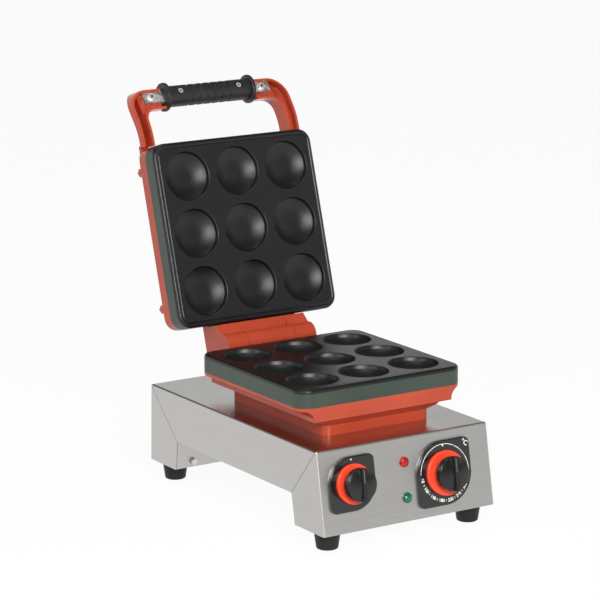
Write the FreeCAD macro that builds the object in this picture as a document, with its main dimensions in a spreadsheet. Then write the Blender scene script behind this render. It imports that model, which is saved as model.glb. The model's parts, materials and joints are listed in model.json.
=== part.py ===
import FreeCAD
import Part
import Sketcher
import math
import os
from FreeCAD import Placement, Rotation, Vector

# Plate baker: two cast plates with nine round cups each, hinged on a folded sheet base.
# Frame: +Z up, Z = 0 on the table, X = 0 on the plane of symmetry, the front panel faces -Y.

SIZES = {
    # Folded sheet base
    "base_width": 240.0,
    "base_depth": 374.0,
    "base_height": 96.7,
    "base_centre_y": -22.0,
    "front_lean": 17.0,
    "rear_lean": 3.3,
    "arch_height": 36.8,
    "front_leg_foot": 44.0,
    "front_leg_top": 50.9,
    "rear_leg_foot": 57.4,
    "rear_leg_top": 61.9,
    "sheet": 1.5,
    "fold_radius": 2.5,
    "lip_width": 18.0,
    "cover_clearance": 0.5,
    "vent_length": 60.0,
    "vent_width": 5.0,
    "vent_pitch": 14.0,
    # Feet
    "foot_height": 22.0,
    "foot_top_radius": 15.8,
    "foot_tip_radius": 13.0,
    "foot_edge_radius": 2.5,
    "foot_inset_side": 21.0,
    "foot_inset_end": 25.0,
    "foot_recess": 8.0,
    "foot_recess_radius": 7.5,
    "foot_screw_radius": 3.0,
    "foot_head_radius": 5.8,
    "foot_head_height": 3.5,
    "foot_nut_height": 5.0,
    "cover_screw_x": 60.0,
    "cover_screw_radius": 2.0,
    "cover_head_radius": 4.0,
    "cover_head_height": 2.4,
    "cover_nut_height": 3.2,
    # Cup plates
    "plate_side": 228.0,
    "plate_corner": 17.0,
    "plate_thick": 22.0,
    "plate_lip": 3.5,
    "plate_y": -34.9,
    "plate_wall": 15.0,
    "plate_recess": 6.0,
    "cup_pitch": 71.2,
    "cup_radius": 30.0,
    "cup_wall_depth": 4.5,
    "cup_wall_inset": 1.2,
    "cup_dish_depth": 6.5,
    "cup_edge": 1.2,
    "cup_flat": 6.0,
    "heater_radius": 3.25,
    "heater_reach": 76.0,
    "heater_bend": 22.0,
    "heater_tail_x": 14.0,
    "heater_tail_length": 40.0,
    "stud_x": 107.5,
    "stud_y": 85.0,
    "stud_radius": 3.0,
    "stud_depth": 10.0,
    "stud_head_radius": 5.0,
    "stud_head_height": 3.5,
    "dome_radius": 4.6,
    "dome_hex_radius": 6.0,
    "dome_hex_height": 7.5,
    # Lower casting
    "casting_height": 39.4,
    "rim_thick": 8.0,
    "chin_height": 9.4,
    "rim_lip": 3.5,
    "cove_inset": 6.0,
    "cove_radius": 11.5,
    "chin_depth": 224.0,
    "plinth_width": 148.0,
    "plinth_depth": 208.0,
    "plinth_height": 12.0,
    "plinth_corner": 10.0,
    "plinth_shift": 2.0,
    "cast_floor": 6.0,
    "cast_wall": 9.0,
    "anchor_x": 50.0,
    "anchor_y": 72.0,
    "anchor_radius": 4.0,
    "anchor_head_radius": 7.0,
    "anchor_head_height": 5.0,
    "anchor_nut_height": 6.0,
    "wire_hole_radius": 12.0,
    # Hinge
    "hinge_behind": 28.0,
    "hinge_below": 5.5,
    "barrel_radius": 15.0,
    "barrel_half": 33.5,
    "lug_length": 29.5,
    "hinge_gap": 0.5,
    "pin_radius": 5.0,
    "pin_clearance": 0.05,
    "cap_thick": 2.0,
    "neck_half": 57.0,
    "neck_clearance": 1.0,
    "neck_rear": 8.0,
    "stop_gap": 0.4,
    "stop_width": 118.0,
    "stop_reach": 24.0,
    "stop_drop": 6.0,
    "cast_overlap": 2.0,
    # Lid
    "lid_open_angle": 106.57,
    "plate_gap": 0.4,
    "crown_width": 186.0,
    "crown_depth": 202.0,
    "crown_top_width": 146.0,
    "crown_top_depth": 168.0,
    "crown_height": 14.0,
    "crown_corner": 14.0,
    "lid_rim_thick": 18.0,
    "lid_round": 4.0,
    "lug_rise": 35.0,
    # Handle
    "arm_x": 105.2,
    "arm_width": 16.0,
    "arm_depth": 22.0,
    "arm_outer_depth": 9.0,
    "arm_setback": 21.4,
    "arm_wall": 3.0,
    "arm_root": 20.0,
    "arm_bend_radius": 75.0,
    "arm_bend_angle": 24.0,
    "arm_straight": 4.0,
    "arm_corner": 25.0,
    "arm_inner_corner": 14.0,
    "arm_foot_height": 5.0,
    "arm_foot_width": 10.0,
    "arm_bolt_inset": 10.0,
    "arm_bolt_radius": 3.0,
    "arm_bolt_head_radius": 5.5,
    "arm_bolt_head_height": 4.0,
    "handle_rise": 72.5,
    "cross_height": 26.5,
    "stub_end": 66.0,
    "bar_height": 15.0,
    "bar_thick": 6.0,
    "bar_half": 91.0,
    "bar_sink": 3.0,
    "bar_screw_x": 80.0,
    "bar_screw_radius": 2.5,
    "bar_screw_head_radius": 4.4,
    "bar_screw_head_height": 2.4,
    "bar_screw_grip": 7.0,
    "grip_length": 127.0,
    "grip_radius": 13.3,
    "grip_flange_radius": 18.0,
    "grip_flange_thick": 5.0,
    "grip_edge": 1.5,
    "grip_rib_pitch": 11.0,
    "grip_rib_depth": 1.4,
    "grip_rib_width": 7.0,
    "grip_screw_x": 42.0,
    "grip_screw_radius": 1.8,
    "grip_screw_head_radius": 3.2,
    "grip_screw_head_height": 2.0,
    "grip_screw_sink": 2.5,
    "fit_clearance": 0.2,
    "overcut": 1.0,
    "thread_out": 2.0,
    # Controls on the front panel
    "switch_inset": 44.0,
    "switch_up": 55.5,
    "switch_bezel_radius": 31.5,
    "switch_knob_radius": 19.5,
    "switch_ring_radius": 23.5,
    "thermostat_inset": 68.5,
    "thermostat_up": 48.5,
    "thermostat_bezel_radius": 38.0,
    "thermostat_knob_radius": 20.5,
    "thermostat_ring_radius": 26.5,
    "bezel_thick": 4.0,
    "bezel_corner": 7.0,
    "bezel_edge": 1.2,
    "ring_gap": 0.5,
    "ring_thick": 4.5,
    "knob_hub_radius": 15.5,
    "knob_hub_rise": 4.0,
    "knob_flare": 3.0,
    "knob_side": 8.0,
    "knob_dome": 3.0,
    "knob_ridge": 10.0,
    "knob_ridge_rise": 2.0,
    "knob_socket": 10.0,
    "shaft_radius": 3.0,
    "shaft_clearance": 0.05,
    "shaft_in": 14.0,
    "shaft_hole_radius": 7.0,
    "control_side": 40.0,
    "control_depth": 32.0,
    "lamp_aside": 15.0,
    "red_lamp_up": 69.0,
    "green_lamp_up": 27.2,
    "lamp_lens_radius": 6.3,
    "lamp_lens_height": 4.5,
    "lamp_collar": 1.0,
    "lamp_body_radius": 5.0,
    "lamp_body_length": 26.0,
    "lamp_nut_radius": 8.0,
    "lamp_nut_thick": 4.0,
    # Electrical pieces
    "gland_inset": 58.0,
    "gland_up": 66.0,
    "gland_radius": 10.0,
    "gland_hex": 13.5,
    "gland_length": 17.0,
    "gland_bore": 4.5,
    "gland_nut_thick": 5.0,
    "gland_nut_radius": 14.5,
    "gland_edge": 2.0,
    "earth_inset": 25.0,
    "earth_up": 7.0,
    "earth_radius": 2.5,
    "earth_head_radius": 4.2,
    "earth_head_height": 3.5,
    "earth_gap": 0.8,
    "block_length": 54.0,
    "block_width": 22.0,
    "block_height": 18.0,
    "block_x": 50.0,
    "block_y": 60.0,
    "bulb_radius": 2.8,
    "bulb_length": 70.0,
    "bulb_y": -35.6,
}

doc = FreeCAD.newDocument("plate_baker")
sheet = doc.addObject("Spreadsheet::Sheet", "Sizes")
for row, (alias, number) in enumerate(SIZES.items(), start=1):
    sheet.set("A%d" % row, alias)
    sheet.set("B%d" % row, str(number))
    sheet.setAlias("B%d" % row, alias)
doc.recompute()


class Size:
    """A length or number together with the sheet expression that gives it."""

    def __init__(self, value, text):
        self.value = float(value)
        self.text = text

    def __float__(self):
        return self.value

    def __add__(self, other):
        other = as_size(other)
        return Size(self.value + other.value, "(%s + %s)" % (self.text, other.text))

    def __radd__(self, other):
        return as_size(other) + self

    def __sub__(self, other):
        other = as_size(other)
        return Size(self.value - other.value, "(%s - %s)" % (self.text, other.text))

    def __rsub__(self, other):
        return as_size(other) - self

    def __mul__(self, other):
        other = as_size(other)
        return Size(self.value * other.value, "(%s * %s)" % (self.text, other.text))

    def __rmul__(self, other):
        return as_size(other) * self

    def __truediv__(self, other):
        other = as_size(other)
        return Size(self.value / other.value, "(%s / %s)" % (self.text, other.text))

    def __neg__(self):
        return Size(-self.value, "(0 - %s)" % self.text)


def as_size(number):
    if isinstance(number, Size):
        return number
    return Size(number, "(%r)" % float(number))


def cosine(angle):
    return Size(math.cos(math.radians(angle.value)), "cos(%s)" % angle.text)


def sine(angle):
    return Size(math.sin(math.radians(angle.value)), "sin(%s)" % angle.text)


def root(number):
    return Size(math.sqrt(number.value), "sqrt(%s)" % number.text)


class Sheet:
    """Reads a cell of the sheet by its alias."""

    def __getattr__(self, alias):
        return Size(sheet.get(alias), "Sizes.%s" % alias)


S = Sheet()

# Shares of a piece's own size that its lesser forms take up
HEAD_TAPER = 0.75
GLAND_HEX_SHARE = 0.35
GLAND_CAP_SHARE = 0.86
GLAND_MOUTH_SHARE = 0.7
BLOCK_FLOOR_SHARE = 0.6
BLOCK_CELLS = 5
BLOCK_CELL_LENGTH = 0.8
BLOCK_CELL_WIDTH = 0.5
BRACKET_UNDER = 0.95
BRACKET_FRONT = 0.88
BRACKET_DROP = 0.4
LENS_SHARE = 0.92
GRIP_RIBS = 6

pieces = []


def bind(thing, prop, size):
    thing.setExpression(prop, as_size(size).text)


def place(thing, x=0.0, y=0.0, z=0.0, tilt=None, axis=Vector(1, 0, 0)):
    """Put a thing at a point, turned by tilt degrees about an axis."""
    start = Rotation(axis, 1.0) if tilt is not None else Rotation()
    thing.Placement = Placement(Vector(float(x), float(y), float(z)), start)
    for name, size in (("x", x), ("y", y), ("z", z)):
        bind(thing, "Placement.Base.%s" % name, size)
    if tilt is not None:
        bind(thing, "Placement.Rotation.Angle", tilt)
    return thing


def keep(thing, label):
    """Name a finished sub-part, which is written to its own file."""
    thing.Label = label
    pieces.append(thing)
    return thing


# Sketches and features

def new_body(name):
    return doc.addObject("PartDesign::Body", name + "_body")


def new_sketch(body, plane="XY", offset=0.0):
    sketch = body.newObject("Sketcher::SketchObject", body.Name + "_sketch")
    role = plane + "_Plane"
    support = [part for part in body.Origin.OriginFeatures if part.Role == role][0]
    sketch.AttachmentSupport = [(support, "")]
    sketch.MapMode = "FlatFace"
    bind(sketch, ".AttachmentOffset.Base.z", offset)
    return sketch


def arc_between(start, end, radius):
    """The arc of under a half turn from start to end: counter-clockwise for a positive radius."""
    sign = 1.0 if radius > 0 else -1.0
    middle = (start + end) * 0.5
    chord = end - start
    reach = math.sqrt(max(radius * radius - chord.Length ** 2 / 4.0, 0.0)) / chord.Length
    centre = middle + Vector(-chord.y, chord.x, 0) * reach * sign
    first = start if radius > 0 else end
    last = end if radius > 0 else start
    begin = math.atan2(first.y - centre.y, first.x - centre.x)
    finish = math.atan2(last.y - centre.y, last.x - centre.x)
    if finish <= begin:
        finish += 2.0 * math.pi
    circle = Part.Circle(centre, Vector(0, 0, 1), abs(radius))
    return Part.ArcOfCircle(circle, begin, finish)


def outline(sketch, points, arcs=None, closed=True):
    """An outline through points (x, y). arcs gives the radius of the edge after a point."""
    arcs = arcs or {}
    count = len(points)
    edges = count if closed else count - 1
    spots = [Vector(float(x), float(y), 0) for x, y in points]
    first = sketch.GeometryCount
    for i in range(edges):
        start = spots[i]
        end = spots[(i + 1) % count]
        if i in arcs:
            edge = arc_between(start, end, float(arcs[i]))
        else:
            edge = Part.LineSegment(start, end)
        sketch.addGeometry(edge, False)
    # A clockwise arc is stored from its end to its start.
    begin = [2 if i in arcs and float(arcs[i]) < 0 else 1 for i in range(edges)]
    for i in range(edges if closed else edges - 1):
        nxt = (i + 1) % count
        sketch.addConstraint(
            Sketcher.Constraint("Coincident", first + i, 3 - begin[i], first + nxt, begin[nxt]))
    for i, point in enumerate(points):
        edge = first + min(i, edges - 1)
        corner = begin[i] if i < edges else 3 - begin[i - 1]
        for kind, size in (("DistanceX", point[0]), ("DistanceY", point[1])):
            index = sketch.addConstraint(Sketcher.Constraint(kind, -1, 1, edge, corner, float(size)))
            bind(sketch, "Constraints[%d]" % index, size)
    for i, radius in arcs.items():
        size = radius if float(radius) > 0 else -as_size(radius)
        index = sketch.addConstraint(Sketcher.Constraint("Radius", first + i, float(size)))
        bind(sketch, "Constraints[%d]" % index, size)
    return sketch


def rounded_box(sketch, half_x, half_y, radius, centre_y=0.0):
    """A rectangle with round corners, centred on X = 0."""
    low = centre_y - half_y
    high = centre_y + half_y
    points = [
        (half_x - radius, low), (half_x, low + radius),
        (half_x, high - radius), (half_x - radius, high),
        (radius - half_x, high), (-half_x, high - radius),
        (-half_x, low + radius), (radius - half_x, low),
    ]
    return outline(sketch, points, {0: radius, 2: radius, 4: radius, 6: radius})


def circle(sketch, x, y, radius):
    index = sketch.GeometryCount
    centre = Vector(float(x), float(y), 0)
    sketch.addGeometry(Part.Circle(centre, Vector(0, 0, 1), float(radius)), False)
    for kind, size in (("DistanceX", x), ("DistanceY", y)):
        slot = sketch.addConstraint(Sketcher.Constraint(kind, -1, 1, index, 3, float(size)))
        bind(sketch, "Constraints[%d]" % slot, size)
    slot = sketch.addConstraint(Sketcher.Constraint("Radius", index, float(radius)))
    bind(sketch, "Constraints[%d]" % slot, radius)
    return sketch


def feature(body, kind, sketch, length=None, symmetric=False, reverse=False):
    made = body.newObject("PartDesign::" + kind, body.Name + "_" + kind)
    made.Profile = sketch
    if length is not None:
        bind(made, "Length", length)
    if symmetric:
        made.SideType = "Symmetric"
    made.Reversed = reverse
    sketch.Visibility = False
    return made


def pad(body, sketch, length, symmetric=False, reverse=False):
    return feature(body, "Pad", sketch, length, symmetric, reverse)


def pocket(body, sketch, length, symmetric=False, reverse=False):
    return feature(body, "Pocket", sketch, length, symmetric, reverse)


def turn(body, sketch, kind="Revolution", axis="V_Axis"):
    made = feature(body, kind, sketch)
    made.ReferenceAxis = (sketch, [axis])
    made.Angle = 360
    return made


def loft(body, first, last, kind="AdditiveLoft"):
    made = body.newObject("PartDesign::" + kind, body.Name + "_" + kind)
    made.Profile = first
    made.Sections = [last]
    made.Ruled = True
    return made


def round_edges(body, radius, wanted, kind="Fillet"):
    """Round or bevel the edges of the last feature that wanted(edge) picks."""
    doc.recompute()
    base = body.Tip
    names = []
    for number, edge in enumerate(base.Shape.Edges, start=1):
        if wanted(edge):
            names.append("Edge%d" % number)
    made = body.newObject("PartDesign::" + kind, body.Name + "_" + kind)
    made.Base = (base, names)
    bind(made, "Radius" if kind == "Fillet" else "Size", radius)
    return made


def near(a, b):
    return abs(float(a) - float(b)) < 0.01


def spans(edge, **limits):
    """True where the whole edge lies on the given coordinates."""
    box = edge.BoundBox
    for axis, value in limits.items():
        low = getattr(box, axis.upper() + "Min")
        high = getattr(box, axis.upper() + "Max")
        if not (near(low, value) and near(high, value)):
            return False
    return True


# Turned pieces and groups of fasteners

def cylinder(radius, length, z=0.0):
    made = doc.addObject("Part::Cylinder", "Cylinder")
    bind(made, "Radius", radius)
    bind(made, "Height", length)
    return place(made, z=z)


def cone(low, high, length, z=0.0):
    made = doc.addObject("Part::Cone", "Cone")
    bind(made, "Radius1", low)
    bind(made, "Radius2", high)
    bind(made, "Height", length)
    return place(made, z=z)


def hexagon(radius, length, z=0.0):
    made = doc.addObject("Part::Prism", "Prism")
    made.Polygon = 6
    bind(made, "Circumradius", radius)
    bind(made, "Height", length)
    return place(made, z=z)


def dome(radius, z=0.0):
    """A half ball that stands on z."""
    made = doc.addObject("Part::Sphere", "Sphere")
    bind(made, "Radius", radius)
    made.Angle1 = 0
    made.Angle2 = 90
    return place(made, z=z)


def box(length, width, height, x=0.0, y=0.0, z=0.0):
    """A block centred on x and y that stands on z."""
    made = doc.addObject("Part::Box", "Box")
    bind(made, "Length", length)
    bind(made, "Width", width)
    bind(made, "Height", height)
    return place(made, x - as_size(length) / 2, y - as_size(width) / 2, z)


def fuse(things):
    made = doc.addObject("Part::MultiFuse", "Fuse")
    made.Shapes = things
    made.Refine = True
    return made


def cut(base, tool):
    made = doc.addObject("Part::Cut", "Cut")
    made.Base = base
    made.Tool = tool
    return made


def group(things, label):
    made = doc.addObject("Part::Compound", label + "_group")
    made.Links = things
    return keep(made, label)


# Levels, points and frames that the pieces share

LEG_Z = S.foot_height
ARCH_Z = S.foot_height + S.arch_height
TOP_Z = S.foot_height + S.base_height
FRONT_Y = -S.base_depth / 2
REAR_Y = S.base_depth / 2
PLATE_BACK_Z = TOP_Z + S.casting_height
PLATE_TOP_Z = PLATE_BACK_Z + S.plate_thick
PLATE_HALF = S.plate_side / 2
PLATES_Y = S.base_centre_y + S.plate_y
HINGE_Y = PLATE_HALF + S.hinge_behind
HINGE_Z = PLATE_TOP_Z - S.hinge_below
FACE_Z = PLATE_TOP_Z + S.plate_gap
HINGE_W = HINGE_Z - FACE_Z
LUG_IN = S.barrel_half + S.hinge_gap
LUG_OUT = LUG_IN + S.lug_length
PANEL_LENGTH = root(S.front_lean * S.front_lean + S.base_height * S.base_height)
PANEL_SIN = S.front_lean / PANEL_LENGTH
PANEL_COS = S.base_height / PANEL_LENGTH
PANEL_TILT = Size(
    math.degrees(math.acos(PANEL_SIN.value)), "acos(%s)" % PANEL_SIN.text)


def on_base(thing):
    return place(thing, y=S.base_centre_y)


def on_plates(thing, z=0.0):
    return place(thing, y=PLATES_Y, z=z)


def on_lid(thing, level=0.0, reach=0.0, turn_by=0.0):
    """Lid pieces are drawn shut and stand open about the hinge.

    level is their height above the lid plate's face, reach their distance from its centre towards the handle.
    """
    opening = S.lid_open_angle
    arm = HINGE_Y + reach
    rise = FACE_Z + level - HINGE_Z
    y = PLATES_Y + HINGE_Y - cosine(opening) * arm + sine(opening) * rise
    z = HINGE_Z + sine(opening) * arm + cosine(opening) * rise
    return place(thing, y=y, z=z, tilt=turn_by - opening)


def on_panel(thing, x, up, out=0.0):
    """Front panel pieces are drawn with z out of the panel and y up along it."""
    y = S.base_centre_y + FRONT_Y - S.front_lean + PANEL_SIN * up - PANEL_COS * out
    z = LEG_Z + PANEL_COS * up + PANEL_SIN * out
    return place(thing, x, y, z, tilt=PANEL_TILT)


def four(x, y):
    return [(-x, -y), (x, -y), (-x, y), (x, y)]


ANCHORS = four(S.anchor_x, S.anchor_y)
STUDS = four(S.stud_x, S.stud_y)
LOWER_STUDS = four(S.stud_y, S.stud_x)
FOOT_FRONT_Y = FRONT_Y - S.front_lean + S.foot_inset_end
FOOT_REAR_Y = REAR_Y + S.rear_lean - S.foot_inset_end
FOOT_X = S.base_width / 2 - S.foot_inset_side
FEET = {
    "foot_front_left": (-FOOT_X, FOOT_FRONT_Y),
    "foot_front_right": (FOOT_X, FOOT_FRONT_Y),
    "foot_rear_left": (-FOOT_X, FOOT_REAR_Y),
    "foot_rear_right": (FOOT_X, FOOT_REAR_Y),
}
RIM_LOW_Z = PLATE_BACK_Z - S.rim_thick
CHIN_LOW_Z = RIM_LOW_Z - S.chin_height
CHIN_HALF = PLATE_HALF - S.cove_inset - S.cove_radius
BOLT_SEAT_Z = CHIN_LOW_Z + S.stud_head_height
RIM_BACK_W = S.plate_thick + S.lid_rim_thick
REAR_LENGTH = root(S.rear_lean * S.rear_lean + S.base_height * S.base_height)
REAR_SIN = S.rear_lean / REAR_LENGTH
REAR_COS = S.base_height / REAR_LENGTH
REAR_TILT = Size(-math.degrees(math.acos(REAR_SIN.value)), "(-1 * acos(%s))" % REAR_SIN.text)
COVER_SCREWS = []
for screw_y in (FRONT_Y - S.front_lean + S.lip_width / 2, REAR_Y + S.rear_lean - S.lip_width / 2):
    COVER_SCREWS += [(-S.cover_screw_x, screw_y), (S.cover_screw_x, screw_y)]
KNOB_Z = S.bezel_thick + S.ring_gap
FRONT_MITRE = ((FRONT_Y, TOP_Z), (FRONT_Y + S.front_leg_top, ARCH_Z))
REAR_MITRE = ((REAR_Y, TOP_Z), (REAR_Y - S.rear_leg_top, ARCH_Z))
SWITCH_X = S.switch_inset - S.base_width / 2
THERMOSTAT_X = S.base_width / 2 - S.thermostat_inset
LAMP_X = THERMOSTAT_X - S.thermostat_bezel_radius - S.lamp_aside
GLAND_X = S.base_width / 2 - S.gland_inset
EARTH_X = S.earth_inset - S.base_width / 2
ARM_BOLT_X = S.arm_x - S.arm_width / 2 + S.arm_foot_width / 2
CROSS_U = PLATE_HALF + S.handle_rise - S.cross_height / 2
BEND_U = PLATE_HALF + S.arm_straight
BEND_END_U = BEND_U + S.arm_bend_radius * sine(S.arm_bend_angle)
ARM_W = S.arm_setback + S.arm_depth / 2
BEND_END_W = ARM_W + S.arm_bend_radius * (1.0 - cosine(S.arm_bend_angle))
CROSS_W = BEND_END_W + (CROSS_U - BEND_END_U) * sine(S.arm_bend_angle) / cosine(S.arm_bend_angle)
BAR_FRONT = S.bar_sink - S.arm_depth / 2
BAR_BACK = BAR_FRONT + S.bar_thick
BAR_MID = BAR_FRONT + S.bar_thick / 2


def on_rear(thing, x, up, out=0.0):
    """Rear panel pieces are drawn with z out of the panel."""
    y = S.base_centre_y + REAR_Y + S.rear_lean - REAR_SIN * up + REAR_COS * out
    z = LEG_Z + REAR_COS * up + REAR_SIN * out
    return place(thing, x, y, z, tilt=REAR_TILT)


def on_cross(thing):
    """Handle pieces are drawn about the middle of the crosspiece, z towards its back."""
    return on_lid(thing, CROSS_W, CROSS_U, -S.arm_bend_angle)


def tilted_sketch(body, y, z, tilt):
    sketch = new_sketch(body)
    sketch.AttachmentOffset = Placement(Vector(), Rotation(Vector(1, 0, 0), 1.0))
    bind(sketch, ".AttachmentOffset.Base.y", y)
    bind(sketch, ".AttachmentOffset.Base.z", z)
    bind(sketch, ".AttachmentOffset.Rotation.Angle", tilt)
    return sketch


def holes(sketch, spots, radius, shift=0.0):
    for x, y in spots:
        circle(sketch, x, y + shift, radius)
    return sketch


def pattern(body, original, runs):
    """Repeat a feature along one or two of the body's axes: runs holds (axis, length, count)."""
    made = body.newObject("PartDesign::LinearPattern", body.Name + "_pattern")
    made.Originals = [original]
    for mark, (axis, length, count) in zip(("", "2"), runs):
        line = [part for part in body.Origin.OriginFeatures if part.Role == axis + "_Axis"][0]
        setattr(made, "Direction" + mark, (line, [""]))
        bind(made, "Length" + mark, length)
        setattr(made, "Occurrences" + mark, count)
    body.Tip = made
    return made


# Base

def base_sheet(name, removed):
    """The hollow folded box, less the zones beyond its mitre seams, each drawn in side view."""
    body = new_body(name)
    side = outline(new_sketch(body, "YZ"), [
        (FRONT_Y, TOP_Z), (FRONT_Y - S.front_lean, LEG_Z),
        (FRONT_Y + S.front_leg_foot, LEG_Z), (FRONT_Y + S.front_leg_top, ARCH_Z),
        (REAR_Y - S.rear_leg_top, ARCH_Z), (REAR_Y - S.rear_leg_foot, LEG_Z),
        (REAR_Y + S.rear_lean, LEG_Z), (REAR_Y, TOP_Z)])
    pad(body, side, S.base_width, symmetric=True)
    round_edges(body, S.fold_radius, lambda edge: spans(edge, z=TOP_Z) or near(
        edge.BoundBox.ZLength, S.base_height))
    front_in = FRONT_Y - S.front_lean + S.sheet / PANEL_COS
    rear_in = REAR_Y + S.rear_lean - S.sheet / REAR_COS
    inner_height = S.base_height - S.sheet
    cavity = outline(new_sketch(body, "YZ"), [
        (front_in + S.front_lean * inner_height / S.base_height, TOP_Z - S.sheet), (front_in, LEG_Z),
        (rear_in, LEG_Z), (rear_in - S.rear_lean * inner_height / S.base_height, TOP_Z - S.sheet)])
    pocket(body, cavity, S.base_width - 2 * S.sheet, symmetric=True)
    zones = new_sketch(body, "YZ")
    for (corner, arch), end_y in removed:
        outline(zones, [
            (corner[0], TOP_Z + S.sheet), corner, arch, (arch[0], LEG_Z - S.sheet),
            (end_y, LEG_Z - S.sheet), (end_y, TOP_Z + S.sheet)])
    pocket(body, zones, S.base_width + 2 * S.sheet, symmetric=True)
    return body


def screw_lip(body, edge_y, inward):
    """The lip folded in at the foot of a leg, which takes the bottom cover's screws."""
    low = LEG_Z + S.sheet
    high = low + S.sheet
    start = edge_y + inward * S.sheet / 2
    end = edge_y + inward * S.lip_width
    lip = outline(new_sketch(body, "YZ"), [(start, low), (end, low), (end, high), (start, high)])
    pad(body, lip, S.base_width - 2 * S.sheet, symmetric=True)
    middle = edge_y + inward * S.lip_width / 2
    spots = [(-S.cover_screw_x, middle), (S.cover_screw_x, middle)]
    drilled = holes(new_sketch(body, "XY", high), spots, S.cover_screw_radius + S.fit_clearance)
    pocket(body, drilled, 2 * S.sheet)


def base_front():
    body = base_sheet("base_front", [(FRONT_MITRE, REAR_Y + S.lip_width)])
    screw_lip(body, FRONT_Y - S.front_lean, 1.0)
    front = tilted_sketch(body, FRONT_Y - S.front_lean, LEG_Z, PANEL_TILT)
    circle(front, SWITCH_X, S.switch_up, S.shaft_hole_radius)
    circle(front, THERMOSTAT_X, S.thermostat_up, S.shaft_hole_radius)
    circle(front, LAMP_X, S.red_lamp_up, S.lamp_body_radius + S.fit_clearance)
    circle(front, LAMP_X, S.green_lamp_up, S.lamp_body_radius + S.fit_clearance)
    pocket(body, front, 2 * S.sheet)
    on_base(keep(body, "base_front"))


def base_top():
    ahead = FRONT_Y - S.front_lean - S.lip_width
    behind = REAR_Y + S.lip_width
    body = base_sheet("base_top", [(FRONT_MITRE, ahead), (REAR_MITRE, behind)])
    top = holes(new_sketch(body, "XY", TOP_Z), ANCHORS, S.anchor_radius + S.fit_clearance, S.plate_y)
    circle(top, 0.0, S.plate_y, S.wire_hole_radius)
    pocket(body, top, 2 * S.sheet)
    on_base(keep(body, "base_top"))


def base_rear():
    body = base_sheet("base_rear", [(REAR_MITRE, FRONT_Y - S.front_lean - S.lip_width)])
    screw_lip(body, REAR_Y + S.rear_lean, -1.0)
    rear = tilted_sketch(body, REAR_Y + S.rear_lean, LEG_Z, REAR_TILT)
    circle(rear, GLAND_X, -S.gland_up, S.gland_radius + S.fit_clearance)
    pocket(body, rear, 2 * S.sheet)
    on_base(keep(body, "base_rear"))


def bottom_cover():
    body = new_body("bottom_cover")
    front_end = FRONT_Y - S.front_lean + S.sheet + S.cover_clearance
    rear_end = REAR_Y + S.rear_lean - S.sheet - S.cover_clearance
    low = [
        (front_end, LEG_Z), (FRONT_Y + S.front_leg_foot, LEG_Z), (FRONT_Y + S.front_leg_top, ARCH_Z),
        (REAR_Y - S.rear_leg_top, ARCH_Z), (REAR_Y - S.rear_leg_foot, LEG_Z), (rear_end, LEG_Z)]
    shifts = [0.0, -1.0, -1.0, 1.0, 1.0, 0.0]
    high = [(y + shift * S.sheet, z + S.sheet) for (y, z), shift in zip(low, shifts)]
    fold = outline(new_sketch(body, "YZ"), low + high[::-1])
    pad(body, fold, S.base_width - 2 * S.sheet - 2 * S.cover_clearance, symmetric=True)
    middle = (low[2][0] + low[3][0]) / 2
    first_y = middle - 2 * S.vent_pitch
    vent = outline(new_sketch(body, "XY", ARCH_Z + S.sheet), [
        (-S.vent_length / 2, first_y - S.vent_width / 2), (S.vent_length / 2, first_y - S.vent_width / 2),
        (S.vent_length / 2, first_y + S.vent_width / 2), (-S.vent_length / 2, first_y + S.vent_width / 2)])
    slot = pocket(body, vent, 2 * S.sheet)
    pattern(body, slot, [("Y", 4 * S.vent_pitch, 5)])
    flange = new_sketch(body, "XY", LEG_Z + S.sheet)
    holes(flange, FEET.values(), S.foot_screw_radius + S.fit_clearance)
    holes(flange, COVER_SCREWS, S.cover_screw_radius + S.fit_clearance)
    pocket(body, flange, 2 * S.sheet)
    wall = new_sketch(body, "XZ", S.rear_leg_top + 2 * S.sheet - REAR_Y)
    circle(wall, EARTH_X, LEG_Z + S.earth_up, S.earth_radius + S.fit_clearance)
    pocket(body, wall, S.rear_leg_top - S.rear_leg_foot + 4 * S.sheet)
    keep(on_base(body), "bottom_cover")


def foot(name, x, y):
    body = new_body(name)
    bore = S.foot_screw_radius + S.fit_clearance
    shape = outline(new_sketch(body, "XZ"), [
        (bore, S.foot_recess), (bore, S.foot_height), (S.foot_top_radius, S.foot_height),
        (S.foot_tip_radius, S.foot_edge_radius), (S.foot_tip_radius - S.foot_edge_radius, 0.0),
        (S.foot_recess_radius, 0.0), (S.foot_recess_radius, S.foot_recess)], {3: -S.foot_edge_radius})
    turn(body, shape)
    keep(place(body, x, S.base_centre_y + y), name)


def foot_screws():
    screws = []
    nut_z = LEG_Z + S.sheet
    for x, y in FEET.values():
        screw = fuse([
            cylinder(S.foot_head_radius, S.foot_head_height, S.foot_recess - S.foot_head_height),
            cylinder(S.foot_screw_radius, nut_z + S.foot_nut_height + S.thread_out - S.foot_recess,
                     S.foot_recess),
            hexagon(S.foot_head_radius, S.foot_nut_height, nut_z)])
        screws.append(place(screw, x, y))
    on_base(group(screws, "foot_screws"))


def bottom_cover_screws():
    screws = []
    nut_z = LEG_Z + 2 * S.sheet
    for x, y in COVER_SCREWS:
        screw = fuse([
            cone(HEAD_TAPER * S.cover_head_radius, S.cover_head_radius, S.cover_head_height,
                 LEG_Z - S.cover_head_height),
            cylinder(S.cover_screw_radius, 2 * S.sheet + S.cover_nut_height + S.thread_out, LEG_Z),
            hexagon(S.cover_head_radius, S.cover_nut_height, nut_z)])
        screws.append(place(screw, x, y))
    on_base(group(screws, "bottom_cover_screws"))


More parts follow.
